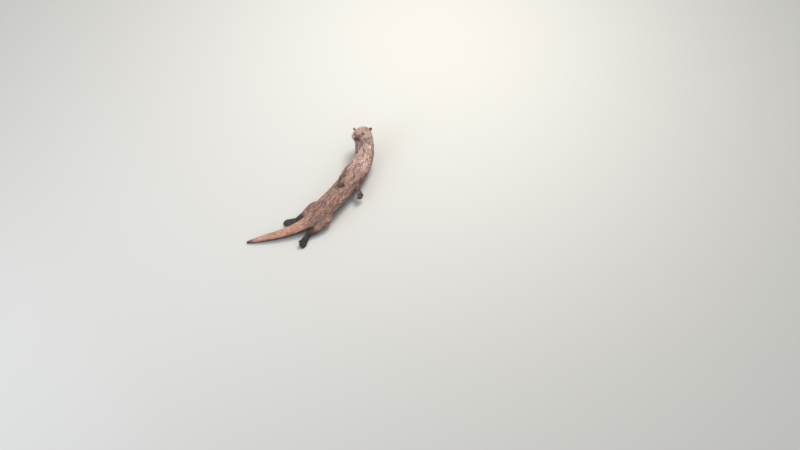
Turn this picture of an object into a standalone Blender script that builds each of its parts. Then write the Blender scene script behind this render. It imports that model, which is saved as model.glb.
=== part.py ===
"""A river otter lying on its back, as a still, life-size model in named solids.

The otter's belly faces up (+Z), its head points roughly along +Y and its left side is on +X.
The body bends sideways in one long curve, the neck lifts the head, and the face looks back
over the chest. All sizes are in metres. The floor is the plane Z = 0.

The soft body is modelled as overlapping lofts, tubes and ellipsoids, melted together by a voxel
remesh, and then parted into head, neck, trunk, tail, legs and paws with thin cuts.
"""

import math
from typing import NamedTuple

import bmesh
import bpy
import numpy as np
from mathutils import Matrix, Vector

GAP = 0.0003  # between neighbouring solids
MM = 0.001

# ---------------------------------------------------------------- spine


class Station(NamedTuple):
    """A named place on the spine, with the body's section there."""

    name: str
    at: float  # along the spine, from the tail's tip
    bearing: float  # of the headward direction, in degrees from +Y towards +X
    height: float  # of the spine's axis above the floor
    half_width: float
    belly: float  # from the axis up to the belly
    back: float  # from the axis down to the back


STATIONS = (
    Station("tail_tip", 0.000, 78.0, 0.0060, 0.0060, 0.0050, 0.0050),
    Station("tail_end", 0.060, 77.5, 0.0110, 0.0165, 0.0105, 0.0110),
    Station("tail_middle", 0.170, 75.5, 0.0190, 0.0260, 0.0185, 0.0195),
    Station("tail_thick", 0.280, 68.0, 0.0275, 0.0320, 0.0255, 0.0285),
    Station("tail_root", 0.365, 58.5, 0.0375, 0.0395, 0.0330, 0.0380),
    Station("rump", 0.430, 50.0, 0.0520, 0.0530, 0.0440, 0.0530),
    Station("hips", 0.500, 43.0, 0.0610, 0.0605, 0.0530, 0.0620),
    Station("loin", 0.600, 38.7, 0.0620, 0.0610, 0.0580, 0.0625),
    Station("ribs", 0.700, 35.5, 0.0635, 0.0610, 0.0590, 0.0645),
    Station("shoulders", 0.790, 31.0, 0.0645, 0.0610, 0.0560, 0.0655),
    Station("neck_base", 0.865, 23.0, 0.0740, 0.0585, 0.0500, 0.0580),
    Station("neck_middle", 0.920, 11.0, 0.0930, 0.0580, 0.0470, 0.0520),
    Station("neck_top", 0.975, -6.0, 0.1220, 0.0565, 0.0440, 0.0480),
    Station("nape", 1.022, -15.0, 0.1480, 0.0545, 0.0430, 0.0450),
    Station("skull", 1.060, -18.0, 0.1680, 0.0360, 0.0290, 0.0290),
)
SPINE_STEP = 0.0025
RING_POINTS = 28
ROUNDNESS = 2.25  # superellipse power of the body's section, where 2 is an ellipse


def station_value(field: str, at: float) -> float:
    """A smooth value of one field of the stations, anywhere along the spine."""
    places = [s.at for s in STATIONS]
    values = [getattr(s, field) for s in STATIONS]
    slopes = np.gradient(np.array(values), np.array(places))
    i = min(max(np.searchsorted(places, at) - 1, 0), len(places) - 2)
    span = places[i + 1] - places[i]
    t = min(max((at - places[i]) / span, 0.0), 1.0)
    rise = (2 * t**3 - 3 * t**2 + 1) * values[i] + (3 * t**2 - 2 * t**3) * values[i + 1]
    lean = (t**3 - 2 * t**2 + t) * slopes[i] + (t**3 - t**2) * slopes[i + 1]
    return float(rise + lean * span)


class Spine:
    """The body's axis as a curve in space, with a frame at each place along it."""

    def __init__(self) -> None:
        self.length = STATIONS[-1].at
        count = round(self.length / SPINE_STEP) + 1
        self.places = [i * self.length / (count - 1) for i in range(count)]
        self.points = [Vector((0, 0, station_value("height", 0)))]
        for last, place in zip(self.places, self.places[1:]):
            rise = station_value("height", place) - station_value("height", last)
            level = math.sqrt((place - last) ** 2 - rise**2)
            bearing = math.radians(station_value("bearing", (place + last) / 2))
            step = Vector((level * math.sin(bearing), level * math.cos(bearing), rise))
            self.points.append(self.points[-1] + step)

    def frame(self, at: float) -> Matrix:
        """The matrix whose columns are headward, left, bellyward and the place itself."""
        i = min(max(round(at / self.length * (len(self.places) - 1)), 1), len(self.places) - 2)
        headward = (self.points[i + 1] - self.points[i - 1]).normalized()
        left = headward.cross(Vector((0, 0, 1))).normalized()
        bellyward = left.cross(headward).normalized()
        exact = self.points[i] + headward * (at - self.places[i])
        return frame_of(headward, left, bellyward, exact)


def frame_of(x: Vector, y: Vector, z: Vector, origin: Vector) -> Matrix:
    """A 4 by 4 matrix from its three axes and its origin."""
    made = Matrix((x, y, z)).transposed().to_4x4()
    made.translation = origin
    return made


# ---------------------------------------------------------------- head

HEAD_AT = 1.044  # of the middle of the skull, along the spine
FACE_BEARING = 204.0  # where the muzzle points, in degrees from +Y towards +X
FACE_ELEVATION = 35.5
FACE_ROLL = 22.0  # of the crown, towards the otter's right


class Lump(NamedTuple):
    """An ellipsoid of flesh in the head's frame: x to the nose, y to the left, z to the crown."""

    name: str
    centre: tuple  # millimetres
    radii: tuple  # millimetres
    paired: bool = False  # one on each side


HEAD_LUMPS = (
    Lump("braincase", (-4, 0, 5), (51, 50, 36)),
    Lump("cheek", (10, 32, -8), (40, 31, 31), True),
    Lump("whisker_pad", (68, 14, -9), (21, 18, 14), True),
    Lump("brow", (32, 18, 17), (17, 12, 8), True),
    Lump("lower_jaw", (40, 0, -26), (37, 27, 15)),
    Lump("chin", (68, 0, -24), (18, 17, 9)),
    Lump("throat", (-2, 0, -30), (46, 47, 28)),
)
# The head's wedge from the braincase to the muzzle: x, z, half width and half height in millimetres
HEAD_WEDGE = (
    (-20, 0, 45, 35),
    (5, -1, 52, 39),
    (28, -2, 48, 36),
    (45, -4, 36, 29),
    (60, -6, 28, 23),
    (74, -7, 23, 18),
    (82, -6, 18, 13),
)
EYE_CENTRE = Vector((50.0, 22.8, 14.0)) * MM
EYE_RADIUS = 0.0060
EAR_CENTRE = Vector((-11, 51, 24)) * MM
EAR_RADII = Vector((5.0, 11.5, 12.0)) * MM
NOSE_CENTRE = Vector((88, 0, 1)) * MM
NOSE_RADII = Vector((7.5, 13.5, 10)) * MM


def head_frame(spine: Spine) -> Matrix:
    """The head's frame, with its origin in the middle of the skull."""
    bearing = math.radians(FACE_BEARING)
    elevation = math.radians(FACE_ELEVATION)
    level = math.cos(elevation)
    noseward = Vector((level * math.sin(bearing), level * math.cos(bearing), math.sin(elevation)))
    left = Vector((0, 0, 1)).cross(noseward).normalized()
    left.rotate(Matrix.Rotation(math.radians(FACE_ROLL), 3, noseward))
    crownward = noseward.cross(left)
    return frame_of(noseward, left, crownward, spine.frame(HEAD_AT).translation)


# ---------------------------------------------------------------- limbs


class Joint(NamedTuple):
    """A limb's joint, placed from a point on the spine: headward, outward and bellyward."""

    place: tuple  # metres
    radius: float


class Paw(NamedTuple):
    """A webbed foot of five toes."""

    length: float  # from the wrist or heel to the tip of the longest toe
    palm_width: float
    thickness: float
    toe_radius: float
    spread: float  # between the outer toes, in degrees
    toe_lengths: tuple  # shares of the longest, from the inner toe
    claw: float
    curl: float  # how far the toe tips bend down towards the sole


class Limb(NamedTuple):
    """A leg with its paw. Its places are for the left side, and side -1 mirrors them."""

    name: str
    side: int
    at: float  # on the spine
    joints: tuple  # from the root to the wrist or heel
    tip: tuple  # the longest toe's tip, placed as a joint
    instep: tuple  # the direction that the paw's upper surface faces
    paw: Paw


FORE_PAW = Paw(0.062, 0.038, 0.019, 0.0058, 30.0, (0.80, 0.94, 1.0, 0.96, 0.82), 0.008, 0.005)
HIND_PAW = Paw(0.095, 0.044, 0.021, 0.0066, 24.0, (0.74, 0.88, 0.97, 1.0, 0.92), 0.008, 0.004)
SHOULDER_AT = 0.800
HIP_AT = 0.460

LIMBS = (
    Limb(
        "fore",
        1,
        SHOULDER_AT,
        (
            Joint((0.006, 0.024, 0.014), 0.036),
            Joint((-0.026, 0.026, 0.028), 0.030),
            Joint((-0.056, 0.034, 0.039), 0.0240),
            Joint((-0.079, 0.052, 0.034), 0.0190),
            Joint((-0.0945, 0.0703, 0.014), 0.0155),
        ),
        (-0.1244, 0.1037, -0.014),
        (0.10, 0.70, 0.70),
        FORE_PAW,
    ),
    Limb(
        "fore",
        -1,
        SHOULDER_AT,
        (
            Joint((0.004, 0.033, 0.012), 0.036),
            Joint((-0.031, 0.040, 0.023), 0.029),
            Joint((-0.065, 0.040, 0.036), 0.0225),
            Joint((-0.087, 0.040, 0.048), 0.0180),
            Joint((-0.103, 0.038, 0.0580), 0.0150),
        ),
        (-0.1560, 0.0080, 0.0690),
        (0.20, 0.30, 0.95),
        FORE_PAW,
    ),
    Limb(
        "hind",
        1,
        HIP_AT,
        (
            Joint((0.014, 0.026, -0.004), 0.044),
            Joint((0.000, 0.046, -0.008), 0.038),
            Joint((-0.045, 0.054, -0.015), 0.0300),
            Joint((-0.092, 0.053, -0.020), 0.0215),
            Joint((-0.128, 0.044, -0.021), 0.0175),
        ),
        (-0.222, 0.077, -0.010),
        (-0.10, 0.80, 0.60),
        HIND_PAW,
    ),
    Limb(
        "hind",
        -1,
        HIP_AT,
        (
            Joint((0.014, 0.026, -0.004), 0.044),
            Joint((0.002, 0.048, -0.010), 0.038),
            Joint((-0.036, 0.058, -0.018), 0.0300),
            Joint((-0.072, 0.064, -0.023), 0.0215),
            Joint((-0.104, 0.069, -0.022), 0.0175),
        ),
        (-0.178, 0.100, -0.016),
        (-0.10, 0.50, 0.85),
        HIND_PAW,
    ),
)

# ---------------------------------------------------------------- clay: shapes to be melted


def add_ellipsoid(clay: bmesh.types.BMesh, frame: Matrix, centre: Vector, radii: Vector) -> None:
    """An ellipsoid at a place in a frame, with its radii along the frame's axes."""
    placed = frame @ Matrix.Translation(centre) @ Matrix.Diagonal((*radii, 1))
    bmesh.ops.create_icosphere(clay, subdivisions=4, radius=1, matrix=placed)


def add_loft(clay: bmesh.types.BMesh, rings: list) -> None:
    """A closed skin through rings of points, which all have the same count."""
    loops = [[clay.verts.new(point) for point in ring] for ring in rings]
    count = len(loops[0])
    for first, second in zip(loops, loops[1:]):
        for i in range(count):
            j = (i + 1) % count
            clay.faces.new((first[i], first[j], second[j], second[i]))
    clay.faces.new(loops[0][::-1])
    clay.faces.new(loops[-1])


def smooth_path(points: list, steps: int) -> list:
    """Points and radii along a Catmull-Rom curve through rows of numbers."""
    rows = [np.array(p, float) for p in points]
    rows = [2 * rows[0] - rows[1], *rows, 2 * rows[-1] - rows[-2]]
    found = []
    for a, b, c, d in zip(rows, rows[1:], rows[2:], rows[3:]):
        for i in range(steps):
            t = i / steps
            bend = (2 * a - 5 * b + 4 * c - d) * t**2 + (3 * b - a - 3 * c + d) * t**3
            found.append(b + 0.5 * ((c - a) * t + bend))
    return [*found, rows[-2]]


def add_tube(clay: bmesh.types.BMesh, points: list, flat_side: Vector, steps: int = 6) -> None:
    """A tube with rounded ends along a smooth path.

    Each point is x, y, z, half width, half height. The height is measured towards flat_side.
    """
    rows = smooth_path(points, steps)
    rings = []
    for i, row in enumerate(rows):
        before, after = rows[max(i - 1, 0)], rows[min(i + 1, len(rows) - 1)]
        along = Vector(after[:3] - before[:3]).normalized()
        across = along.cross(flat_side).normalized()
        up = across.cross(along)
        at = Vector(row[:3])
        ends = [(0.0, 1.0)]
        if i == 0:
            ends = [(-0.85, 0.45), (-0.55, 0.80), (0.0, 1.0)]
        elif i == len(rows) - 1:
            ends = [(0.0, 1.0), (0.55, 0.80), (0.85, 0.45)]
        for beyond, share in ends:
            centre = at + along * beyond * min(row[3], row[4])
            rings.append(ring_of(centre, across, up, row[3] * share, row[4] * share, row[4] * share))
    add_loft(clay, rings)


def ring_of(
    centre: Vector, across: Vector, up: Vector, half_width: float, over: float, under: float
) -> list:
    """A closed, nearly elliptical ring of points."""
    points = []
    for i in range(RING_POINTS):
        angle = 2 * math.pi * i / RING_POINTS
        c, s = math.cos(angle), math.sin(angle)
        wide = math.copysign(abs(c) ** (2 / ROUNDNESS), c) * half_width
        high = math.copysign(abs(s) ** (2 / ROUNDNESS), s) * (over if s > 0 else under)
        points.append(centre + across * wide + up * high)
    return points


def add_body(clay: bmesh.types.BMesh, spine: Spine, start: float, end: float) -> None:
    """The loft of tail, trunk and neck along a stretch of the spine."""
    rings = []
    count = round((end - start) / 0.008)
    for i in range(count + 1):
        at = start + (end - start) * i / count
        frame = spine.frame(at)
        half_width = station_value("half_width", at)
        belly, back = station_value("belly", at), station_value("back", at)
        left, up = frame.col[1].xyz, frame.col[2].xyz
        rings.append(ring_of(frame.translation, left, up, half_width, belly, back))
    add_loft(clay, rings)


def add_head(clay: bmesh.types.BMesh, head: Matrix) -> None:
    """All lumps of flesh of the head."""
    for lump in HEAD_LUMPS:
        for side in (1, -1) if lump.paired else (1,):
            centre = Vector(lump.centre) * MM
            centre.y *= side
            add_ellipsoid(clay, head, centre, Vector(lump.radii) * MM)
    rows = [
        (*(head @ (Vector((x, 0, z)) * MM)), half_width * MM, half_height * MM)
        for x, z, half_width, half_height in HEAD_WEDGE
    ]
    add_tube(clay, rows, head.col[2].xyz)


def placed(spine: Spine, limb: Limb, place: tuple) -> Vector:
    """The world point of a place given from the spine: headward, outward and bellyward."""
    headward, outward, bellyward = place
    return spine.frame(limb.at) @ Vector((headward, outward * limb.side, bellyward))


def paw_frame(spine: Spine, limb: Limb) -> Matrix:
    """The paw's frame at the wrist or heel: x to the toes, z out of the instep."""
    start, end = placed(spine, limb, limb.joints[-1].place), placed(spine, limb, limb.tip)
    toeward = (end - start).normalized()
    headward, outward, bellyward = limb.instep
    turn = spine.frame(limb.at).to_3x3()
    instep = turn @ Vector((headward, outward * limb.side, bellyward))
    across = instep.cross(toeward).normalized()
    return frame_of(toeward, across, toeward.cross(across), start)


def add_leg(clay: bmesh.types.BMesh, spine: Spine, limb: Limb) -> None:
    """The leg, from inside the trunk to the wrist or heel."""
    paw = paw_frame(spine, limb)
    rows = [(*placed(spine, limb, j.place), j.radius, j.radius) for j in limb.joints]
    wrist = paw @ Vector((limb.paw.length * 0.16, 0, 0))
    rows.append((*wrist, limb.paw.palm_width * 0.36, limb.paw.thickness * 0.46))
    add_tube(clay, rows, paw.col[2].xyz)


def toe_points(paw: Paw, inner: int, number: int) -> list:
    """A toe's knuckle, middle and tip in the paw's frame. inner is the side of the first toe."""
    share = (number - 2) / 2
    angle = math.radians(paw.spread / 2) * share * -inner
    reach = paw.length * (0.50 * paw.toe_lengths[number])
    start = Vector((paw.length * (0.50 - 0.05 * share**2), -inner * share * paw.palm_width * 0.40, 0))
    ahead = Vector((math.cos(angle), math.sin(angle), 0))
    middle = start + ahead * reach * 0.5 + Vector((0, 0, paw.toe_radius * 0.25))
    tip = start + ahead * (reach - paw.toe_radius) - Vector((0, 0, paw.curl))
    return [start, middle, tip]


def add_paw(clay: bmesh.types.BMesh, spine: Spine, limb: Limb) -> None:
    """The palm, pads, toes, webs and claws of one paw."""
    paw, frame = limb.paw, paw_frame(spine, limb)
    inner = -limb.side if frame.col[1].xyz.dot(spine.frame(limb.at).col[1].xyz) > 0 else limb.side
    up = frame.col[2].xyz
    half = paw.thickness / 2
    palm = Vector((paw.length * 0.34, 0, -0.05 * paw.thickness))
    add_ellipsoid(clay, frame, palm, Vector((paw.length * 0.30, paw.palm_width / 2, half)))
    pad = Vector((paw.length * 0.46, 0, -half * 0.55))
    add_ellipsoid(clay, frame, pad, Vector((paw.length * 0.14, paw.palm_width * 0.40, half * 0.62)))
    toes = [toe_points(paw, inner, number) for number in range(5)]
    for toe in toes:
        add_toe(clay, frame, paw, toe, up)
    for first, second in zip(toes, toes[1:]):
        add_web(clay, frame, paw, first, second, up)


def add_toe(clay: bmesh.types.BMesh, frame: Matrix, paw: Paw, toe: list, up: Vector) -> None:
    """One toe with the pad under its tip and its claw."""
    radius = paw.toe_radius
    widths = (radius * 1.0, radius * 0.96, radius * 0.82)
    start, middle, tip = toe
    rows = [(*(frame @ p), w, w * 0.92) for p, w in zip(toe, widths)]
    add_tube(clay, rows, up)
    ahead = (tip - middle).normalized()
    pad = tip - Vector((0, 0, radius * 0.35))
    add_ellipsoid(clay, frame, pad, Vector((radius * 1.05, radius * 0.82, radius * 0.72)))
    root = tip + ahead * radius * 0.3 + Vector((0, 0, radius * 0.35))
    point = root + ahead * (paw.claw + radius * 0.4) - Vector((0, 0, paw.claw * 0.35))
    rows = [(*(frame @ root), 0.0022, 0.0024), (*(frame @ point), 0.0011, 0.0012)]
    add_tube(clay, rows, up)


def add_web(
    clay: bmesh.types.BMesh, frame: Matrix, paw: Paw, first: list, second: list, up: Vector
) -> None:
    """The web between two toes, ending in a shallow curve short of their tips."""
    half_thick = 0.0014
    rows = []
    for share in (0.0, 0.35, 0.62):
        a = first[0].lerp(first[2], share)
        b = second[0].lerp(second[2], share)
        rows.append((*(frame @ ((a + b) / 2)), (a - b).length / 2, half_thick))
    add_tube(clay, rows, up)


# ---------------------------------------------------------------- from clay to solids


def new_object(name: str, shape: bmesh.types.BMesh) -> bpy.types.Object:
    """A linked object that holds the shape."""
    bmesh.ops.recalc_face_normals(shape, faces=shape.faces)
    mesh = bpy.data.meshes.new(name)
    shape.to_mesh(mesh)
    shape.free()
    made = bpy.data.objects.new(name, mesh)
    bpy.context.scene.collection.objects.link(made)
    return made


def settle(item: bpy.types.Object) -> bpy.types.Object:
    """Applies every modifier."""
    graph = bpy.context.evaluated_depsgraph_get()
    mesh = bpy.data.meshes.new_from_object(item.evaluated_get(graph))
    item.modifiers.clear()
    item.data = mesh
    return item


def melt(item: bpy.types.Object, voxel: float, rounds: int, triangles: int) -> bpy.types.Object:
    """Melts overlapping shapes into one skin, smooths it and thins it to about so many triangles."""
    remesh = item.modifiers.new("melt", "REMESH")
    remesh.mode = "VOXEL"
    remesh.voxel_size = voxel
    smooth = item.modifiers.new("smooth", "SMOOTH")
    smooth.factor = 0.5
    smooth.iterations = rounds
    settle(item)
    item.data.calc_loop_triangles()
    thin = item.modifiers.new("thin", "DECIMATE")
    thin.ratio = triangles / len(item.data.loop_triangles)
    return settle(item)


def boolean(item: bpy.types.Object, other: bpy.types.Object, operation: str) -> bpy.types.Object:
    """Cuts or joins one solid with another, and removes the tool."""
    modifier = item.modifiers.new(operation.lower(), "BOOLEAN")
    modifier.operation = operation
    modifier.object = other
    settle(item)
    bpy.data.objects.remove(other)
    return item


def grown(item: bpy.types.Object, distance: float) -> bpy.types.Object:
    """A copy of a solid, grown outwards, to cut its neighbours with."""
    shape = bmesh.new()
    shape.from_mesh(item.data)
    made = new_object(item.name + "_cutter", shape)
    swell = made.modifiers.new("swell", "DISPLACE")
    swell.strength = distance
    swell.mid_level = 0
    return settle(made)


def thin_cut(centre: Vector, across: Vector, radius: float) -> bpy.types.Object:
    """A disc as thick as the gap, which parts one solid into two."""
    shape = bmesh.new()
    turn = across.to_track_quat("Z", "Y").to_matrix().to_4x4()
    place = Matrix.Translation(centre) @ turn
    bmesh.ops.create_cone(
        shape, cap_ends=True, segments=32, radius1=radius, radius2=radius, depth=GAP, matrix=place
    )
    return new_object("thin_cut", shape)


def islands(item: bpy.types.Object) -> list:
    """The separate bodies of a solid as objects, the largest first. The solid itself is removed."""
    shape = bmesh.new()
    shape.from_mesh(item.data)
    shape.verts.ensure_lookup_table()
    group = [-1] * len(shape.verts)
    count = 0
    for seed in shape.verts:
        if group[seed.index] >= 0:
            continue
        waiting = [seed]
        group[seed.index] = count
        while waiting:
            for edge in waiting.pop().link_edges:
                for end in edge.verts:
                    if group[end.index] < 0:
                        group[end.index] = count
                        waiting.append(end)
        count += 1
    made = []
    for number in range(count):
        body = shape.copy()
        body.verts.ensure_lookup_table()
        others = [v for v in body.verts if group[v.index] != number]
        bmesh.ops.delete(body, geom=others, context="VERTS")
        made.append(new_object(f"{item.name}_{number}", body))
    shape.free()
    bpy.data.objects.remove(item)
    return sorted(made, key=lambda o: -len(o.data.vertices))


def middle_of(item: bpy.types.Object) -> Vector:
    """The mean of a solid's points."""
    return sum((v.co for v in item.data.vertices), Vector()) / len(item.data.vertices)


def keep_nearest(pieces: list, place: Vector, name: str) -> bpy.types.Object:
    """Names the piece nearest a place."""
    found = min(pieces, key=lambda o: (middle_of(o) - place).length)
    found.name = name
    return found


# ---------------------------------------------------------------- parts of the otter

NECK_CUT_AT = 0.868
HEAD_CUT_AT = 0.994
TAIL_CUT_AT = 0.388
FLOOR_DEPTH = 0.05


def cut_floor(item: bpy.types.Object) -> None:
    """Takes off what would reach below the floor, which leaves small flats at one level."""
    shape = bmesh.new()
    size = Matrix.Diagonal((3, 3, FLOOR_DEPTH, 1))
    bmesh.ops.create_cube(shape, size=1, matrix=Matrix.Translation((0, 0, -FLOOR_DEPTH / 2)) @ size)
    boolean(item, new_object("floor_cutter", shape), "DIFFERENCE")


def spine_cut(spine: Spine, at: float, margin: float) -> bpy.types.Object:
    """A thin cut square to the spine."""
    frame = spine.frame(at)
    radius = station_value("half_width", at) + margin
    return thin_cut(frame.translation, frame.col[0].xyz, radius)


def make_body(spine: Spine, head: Matrix) -> dict:
    """Tail, trunk and neck."""
    clay = bmesh.new()
    add_body(clay, spine, 0.004, spine.length)
    add_head(clay, head)
    body = melt(new_object("body", clay), 0.0026, 8, 2780)
    cut_floor(body)
    for at, margin in ((TAIL_CUT_AT, 0.012), (NECK_CUT_AT, 0.012), (HEAD_CUT_AT, 0.016)):
        boolean(body, spine_cut(spine, at, margin), "DIFFERENCE")
    pieces = islands(body)[:4]
    places = {
        "tail": TAIL_CUT_AT / 2,
        "trunk": (TAIL_CUT_AT + NECK_CUT_AT) / 2,
        "neck": (NECK_CUT_AT + HEAD_CUT_AT) / 2,
    }
    made = {
        name: keep_nearest(pieces, spine.frame(at).translation, name) for name, at in places.items()
    }
    for piece in pieces:
        if piece not in made.values():
            bpy.data.objects.remove(piece)
    return made


def make_head(spine: Spine, head: Matrix) -> dict:
    """Head, eyes, ears and nose."""
    clay = bmesh.new()
    add_body(clay, spine, NECK_CUT_AT, spine.length)
    add_head(clay, head)
    skull = melt(new_object("skull", clay), 0.0016, 26, 1900)
    boolean(skull, spine_cut(spine, HEAD_CUT_AT, 0.016), "DIFFERENCE")
    pieces = islands(skull)
    made = {"head": keep_nearest(pieces, head.translation, "head")}
    for piece in pieces:
        if piece not in made.values():
            bpy.data.objects.remove(piece)
    for side, word in ((1, "left"), (-1, "right")):
        mirror = Vector((1, side, 1))
        made[f"eye_{word}"] = make_eye(made["head"], head, EYE_CENTRE * mirror, f"eye_{word}")
    for side, word in ((1, "left"), (-1, "right")):
        made[f"ear_{word}"] = make_ear(made["head"], head, side, f"ear_{word}")
    made["nose"] = make_nose(made["head"], head)
    return made


def make_eye(
    skull: bpy.types.Object, head: Matrix, centre: Vector, name: str
) -> bpy.types.Object:
    """An eyeball in a socket that fits it."""
    balls = []
    for radius in (EYE_RADIUS + GAP, EYE_RADIUS):
        shape = bmesh.new()
        spot = Matrix.Translation(head @ centre)
        bmesh.ops.create_icosphere(shape, subdivisions=3, radius=radius, matrix=spot)
        balls.append(new_object(name, shape))
    boolean(skull, balls[0], "DIFFERENCE")
    balls[1].name = name
    return balls[1]


def make_ear(skull: bpy.types.Object, head: Matrix, side: int, name: str) -> bpy.types.Object:
    """A small round ear with a hollow front, standing out from the side of the head."""
    centre = EAR_CENTRE * Vector((1, side, 1))
    turn = Matrix.Rotation(math.radians(28 * side), 4, "Z") @ Matrix.Rotation(
        math.radians(-24 * side), 4, "X"
    )
    frame = head @ Matrix.Translation(centre) @ turn
    shape = bmesh.new()
    add_ellipsoid(shape, frame, Vector(), EAR_RADII)
    ear = new_object(name, shape)
    hollow = bmesh.new()
    add_ellipsoid(hollow, frame, Vector((6.5 * MM, 0, 1 * MM)), EAR_RADII * 0.82)
    boolean(ear, new_object("ear_hollow", hollow), "DIFFERENCE")
    thin = ear.modifiers.new("thin", "DECIMATE")
    thin.ratio = 0.10
    settle(ear)
    boolean(ear, grown(skull, GAP), "DIFFERENCE")
    return name_largest(ear, name)


def make_nose(skull: bpy.types.Object, head: Matrix) -> bpy.types.Object:
    """The broad bare nose pad at the tip of the muzzle."""
    shape = bmesh.new()
    add_ellipsoid(shape, head, NOSE_CENTRE, NOSE_RADII)
    low = NOSE_CENTRE + Vector((-2.5, 0, -7)) * MM
    add_ellipsoid(shape, head, low, Vector((6, 5, 6)) * MM)
    nose = melt(new_object("nose", shape), 0.0012, 3, 240)
    boolean(nose, grown(skull, GAP), "DIFFERENCE")
    return name_largest(nose, "nose")


def name_largest(item: bpy.types.Object, name: str) -> bpy.types.Object:
    """Keeps the largest body of a solid, under this name."""
    first, *others = islands(item)
    for other in others:
        bpy.data.objects.remove(other)
    first.name = name
    return first


def make_limb(spine: Spine, limb: Limb, body: dict, budget: int) -> dict:
    """A leg and its paw, fitted against the trunk and the tail."""
    word = "left" if limb.side > 0 else "right"
    clay = bmesh.new()
    add_leg(clay, spine, limb)
    add_paw(clay, spine, limb)
    whole = melt(new_object("limb", clay), 0.0013, 3, budget)
    for name in ("trunk", "tail"):
        boolean(whole, grown(body[name], GAP), "DIFFERENCE")
    whole = name_largest(whole, "limb")
    cut_floor(whole)
    paw = paw_frame(spine, limb)
    place = paw @ Vector((limb.paw.length * 0.06, 0, 0))
    radius = limb.joints[-1].radius + 0.014
    boolean(whole, thin_cut(place, paw.col[0].xyz, radius), "DIFFERENCE")
    pieces = islands(whole)[:2]
    toes = paw @ Vector((limb.paw.length * 0.6, 0, 0))
    made = {f"{limb.name}_paw_{word}": keep_nearest(pieces, toes, f"{limb.name}_paw_{word}")}
    leg = next(p for p in pieces if p not in made.values())
    leg.name = f"{limb.name}_leg_{word}"
    made[leg.name] = leg
    return made


# ---------------------------------------------------------------- colours

COLOURS = {
    "fur": ((0.33, 0.19, 0.12), 0.75),
    "pale_fur": ((0.52, 0.36, 0.29), 0.75),
    "dark_skin": ((0.030, 0.022, 0.020), 0.45),
    "eye": ((0.010, 0.007, 0.006), 0.08),
}


def finish_of(name: str) -> str:
    """Which colour a node has."""
    if name.startswith("eye"):
        return "eye"
    if name == "nose" or "paw" in name:
        return "dark_skin"
    return "pale_fur" if name in ("head", "neck") else "fur"


def paint(parts: dict) -> None:
    """Gives each node its material."""
    for name, part in parts.items():
        colour, roughness = COLOURS[finish_of(name)]
        material = bpy.data.materials.new(name)
        material.use_nodes = True
        shader = material.node_tree.nodes["Principled BSDF"]
        shader.inputs["Base Color"].default_value = (*colour, 1)
        shader.inputs["Roughness"].default_value = roughness
        part.data.materials.clear()
        part.data.materials.append(material)
        part.data.shade_flat()


def stand_on_origin(parts: dict) -> None:
    """Moves the whole so that the middle of its base is at the origin."""
    points = np.array([v.co for part in parts.values() for v in part.data.vertices])
    low, high = points.min(axis=0), points.max(axis=0)
    shift = Vector((-(low[0] + high[0]) / 2, -(low[1] + high[1]) / 2, -low[2]))
    for part in parts.values():
        part.location = shift


def main() -> None:
    """Builds the otter."""
    for item in list(bpy.data.objects):
        bpy.data.objects.remove(item)
    spine = Spine()
    head = head_frame(spine)
    parts = make_body(spine, head)
    for limb in LIMBS:
        budget = 880 if limb.name == "hind" else 800
        parts |= make_limb(spine, limb, parts, budget)
    parts |= make_head(spine, head)
    paint(parts)
    stand_on_origin(parts)


main()
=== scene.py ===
"""A river otter lying on its back: skin, wet coat, eyes, nose, claws and whiskers over the solids.

The belly faces up (+Z), the head points roughly along +Y and the animal's left side is on +X.
All sizes are in metres unless a name or a comment says millimetres.
"""

import logging
import math
from dataclasses import astuple, dataclass, field
from enum import Enum

import bmesh
import bpy
import numpy as np
from mathutils import Matrix, Vector
from mathutils.bvhtree import BVHTree
from mathutils.kdtree import KDTree


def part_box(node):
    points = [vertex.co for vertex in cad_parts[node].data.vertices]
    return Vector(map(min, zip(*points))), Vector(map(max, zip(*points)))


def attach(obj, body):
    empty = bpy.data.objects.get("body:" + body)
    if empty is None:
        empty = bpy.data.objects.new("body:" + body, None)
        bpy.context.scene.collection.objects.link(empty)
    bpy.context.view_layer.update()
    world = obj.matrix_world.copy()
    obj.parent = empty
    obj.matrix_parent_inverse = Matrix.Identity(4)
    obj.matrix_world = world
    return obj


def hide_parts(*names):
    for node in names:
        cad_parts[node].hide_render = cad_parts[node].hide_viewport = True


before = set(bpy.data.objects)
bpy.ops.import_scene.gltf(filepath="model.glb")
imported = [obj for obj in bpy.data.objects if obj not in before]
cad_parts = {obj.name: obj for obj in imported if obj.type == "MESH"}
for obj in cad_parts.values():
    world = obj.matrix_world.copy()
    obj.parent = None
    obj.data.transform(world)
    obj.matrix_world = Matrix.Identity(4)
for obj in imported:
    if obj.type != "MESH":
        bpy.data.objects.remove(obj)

MM = 0.001
SEED = 20261
SIDES = {1: "left", -1: "right"}
LEG_REACH = 0.046  # how far a leg's skin lies from its middle line, at most
FLOOR_GAP_MM = 0.1  # between the floor and the lowest hair or claw
LENGTH, WIDTH, DEPTH, SPACING, LOCK, CLING = range(6)  # columns of a table of growths
LOG = logging.getLogger("otter")


# -------- small tools


def ramp(low: float, high: float, values: np.ndarray) -> np.ndarray:
    """Rises smoothly from 0 at low to 1 at high.

    Args:
        low: Where the rise begins.
        high: Where it ends. It may be below low, for a fall.
        values: The numbers to place on the rise.

    Returns:
        Numbers from 0 to 1, shaped as values.
    """
    share = np.clip((values - low) / (high - low), 0.0, 1.0)
    return share * share * (3.0 - 2.0 * share)


def unit(rows: np.ndarray) -> np.ndarray:
    """Rows of vectors scaled to length 1."""
    return rows / np.maximum(np.linalg.norm(rows, axis=-1, keepdims=True), 1e-12)


def lengths(rows: np.ndarray) -> np.ndarray:
    """The length of each row's vector."""
    return np.linalg.norm(rows, axis=1)


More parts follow.
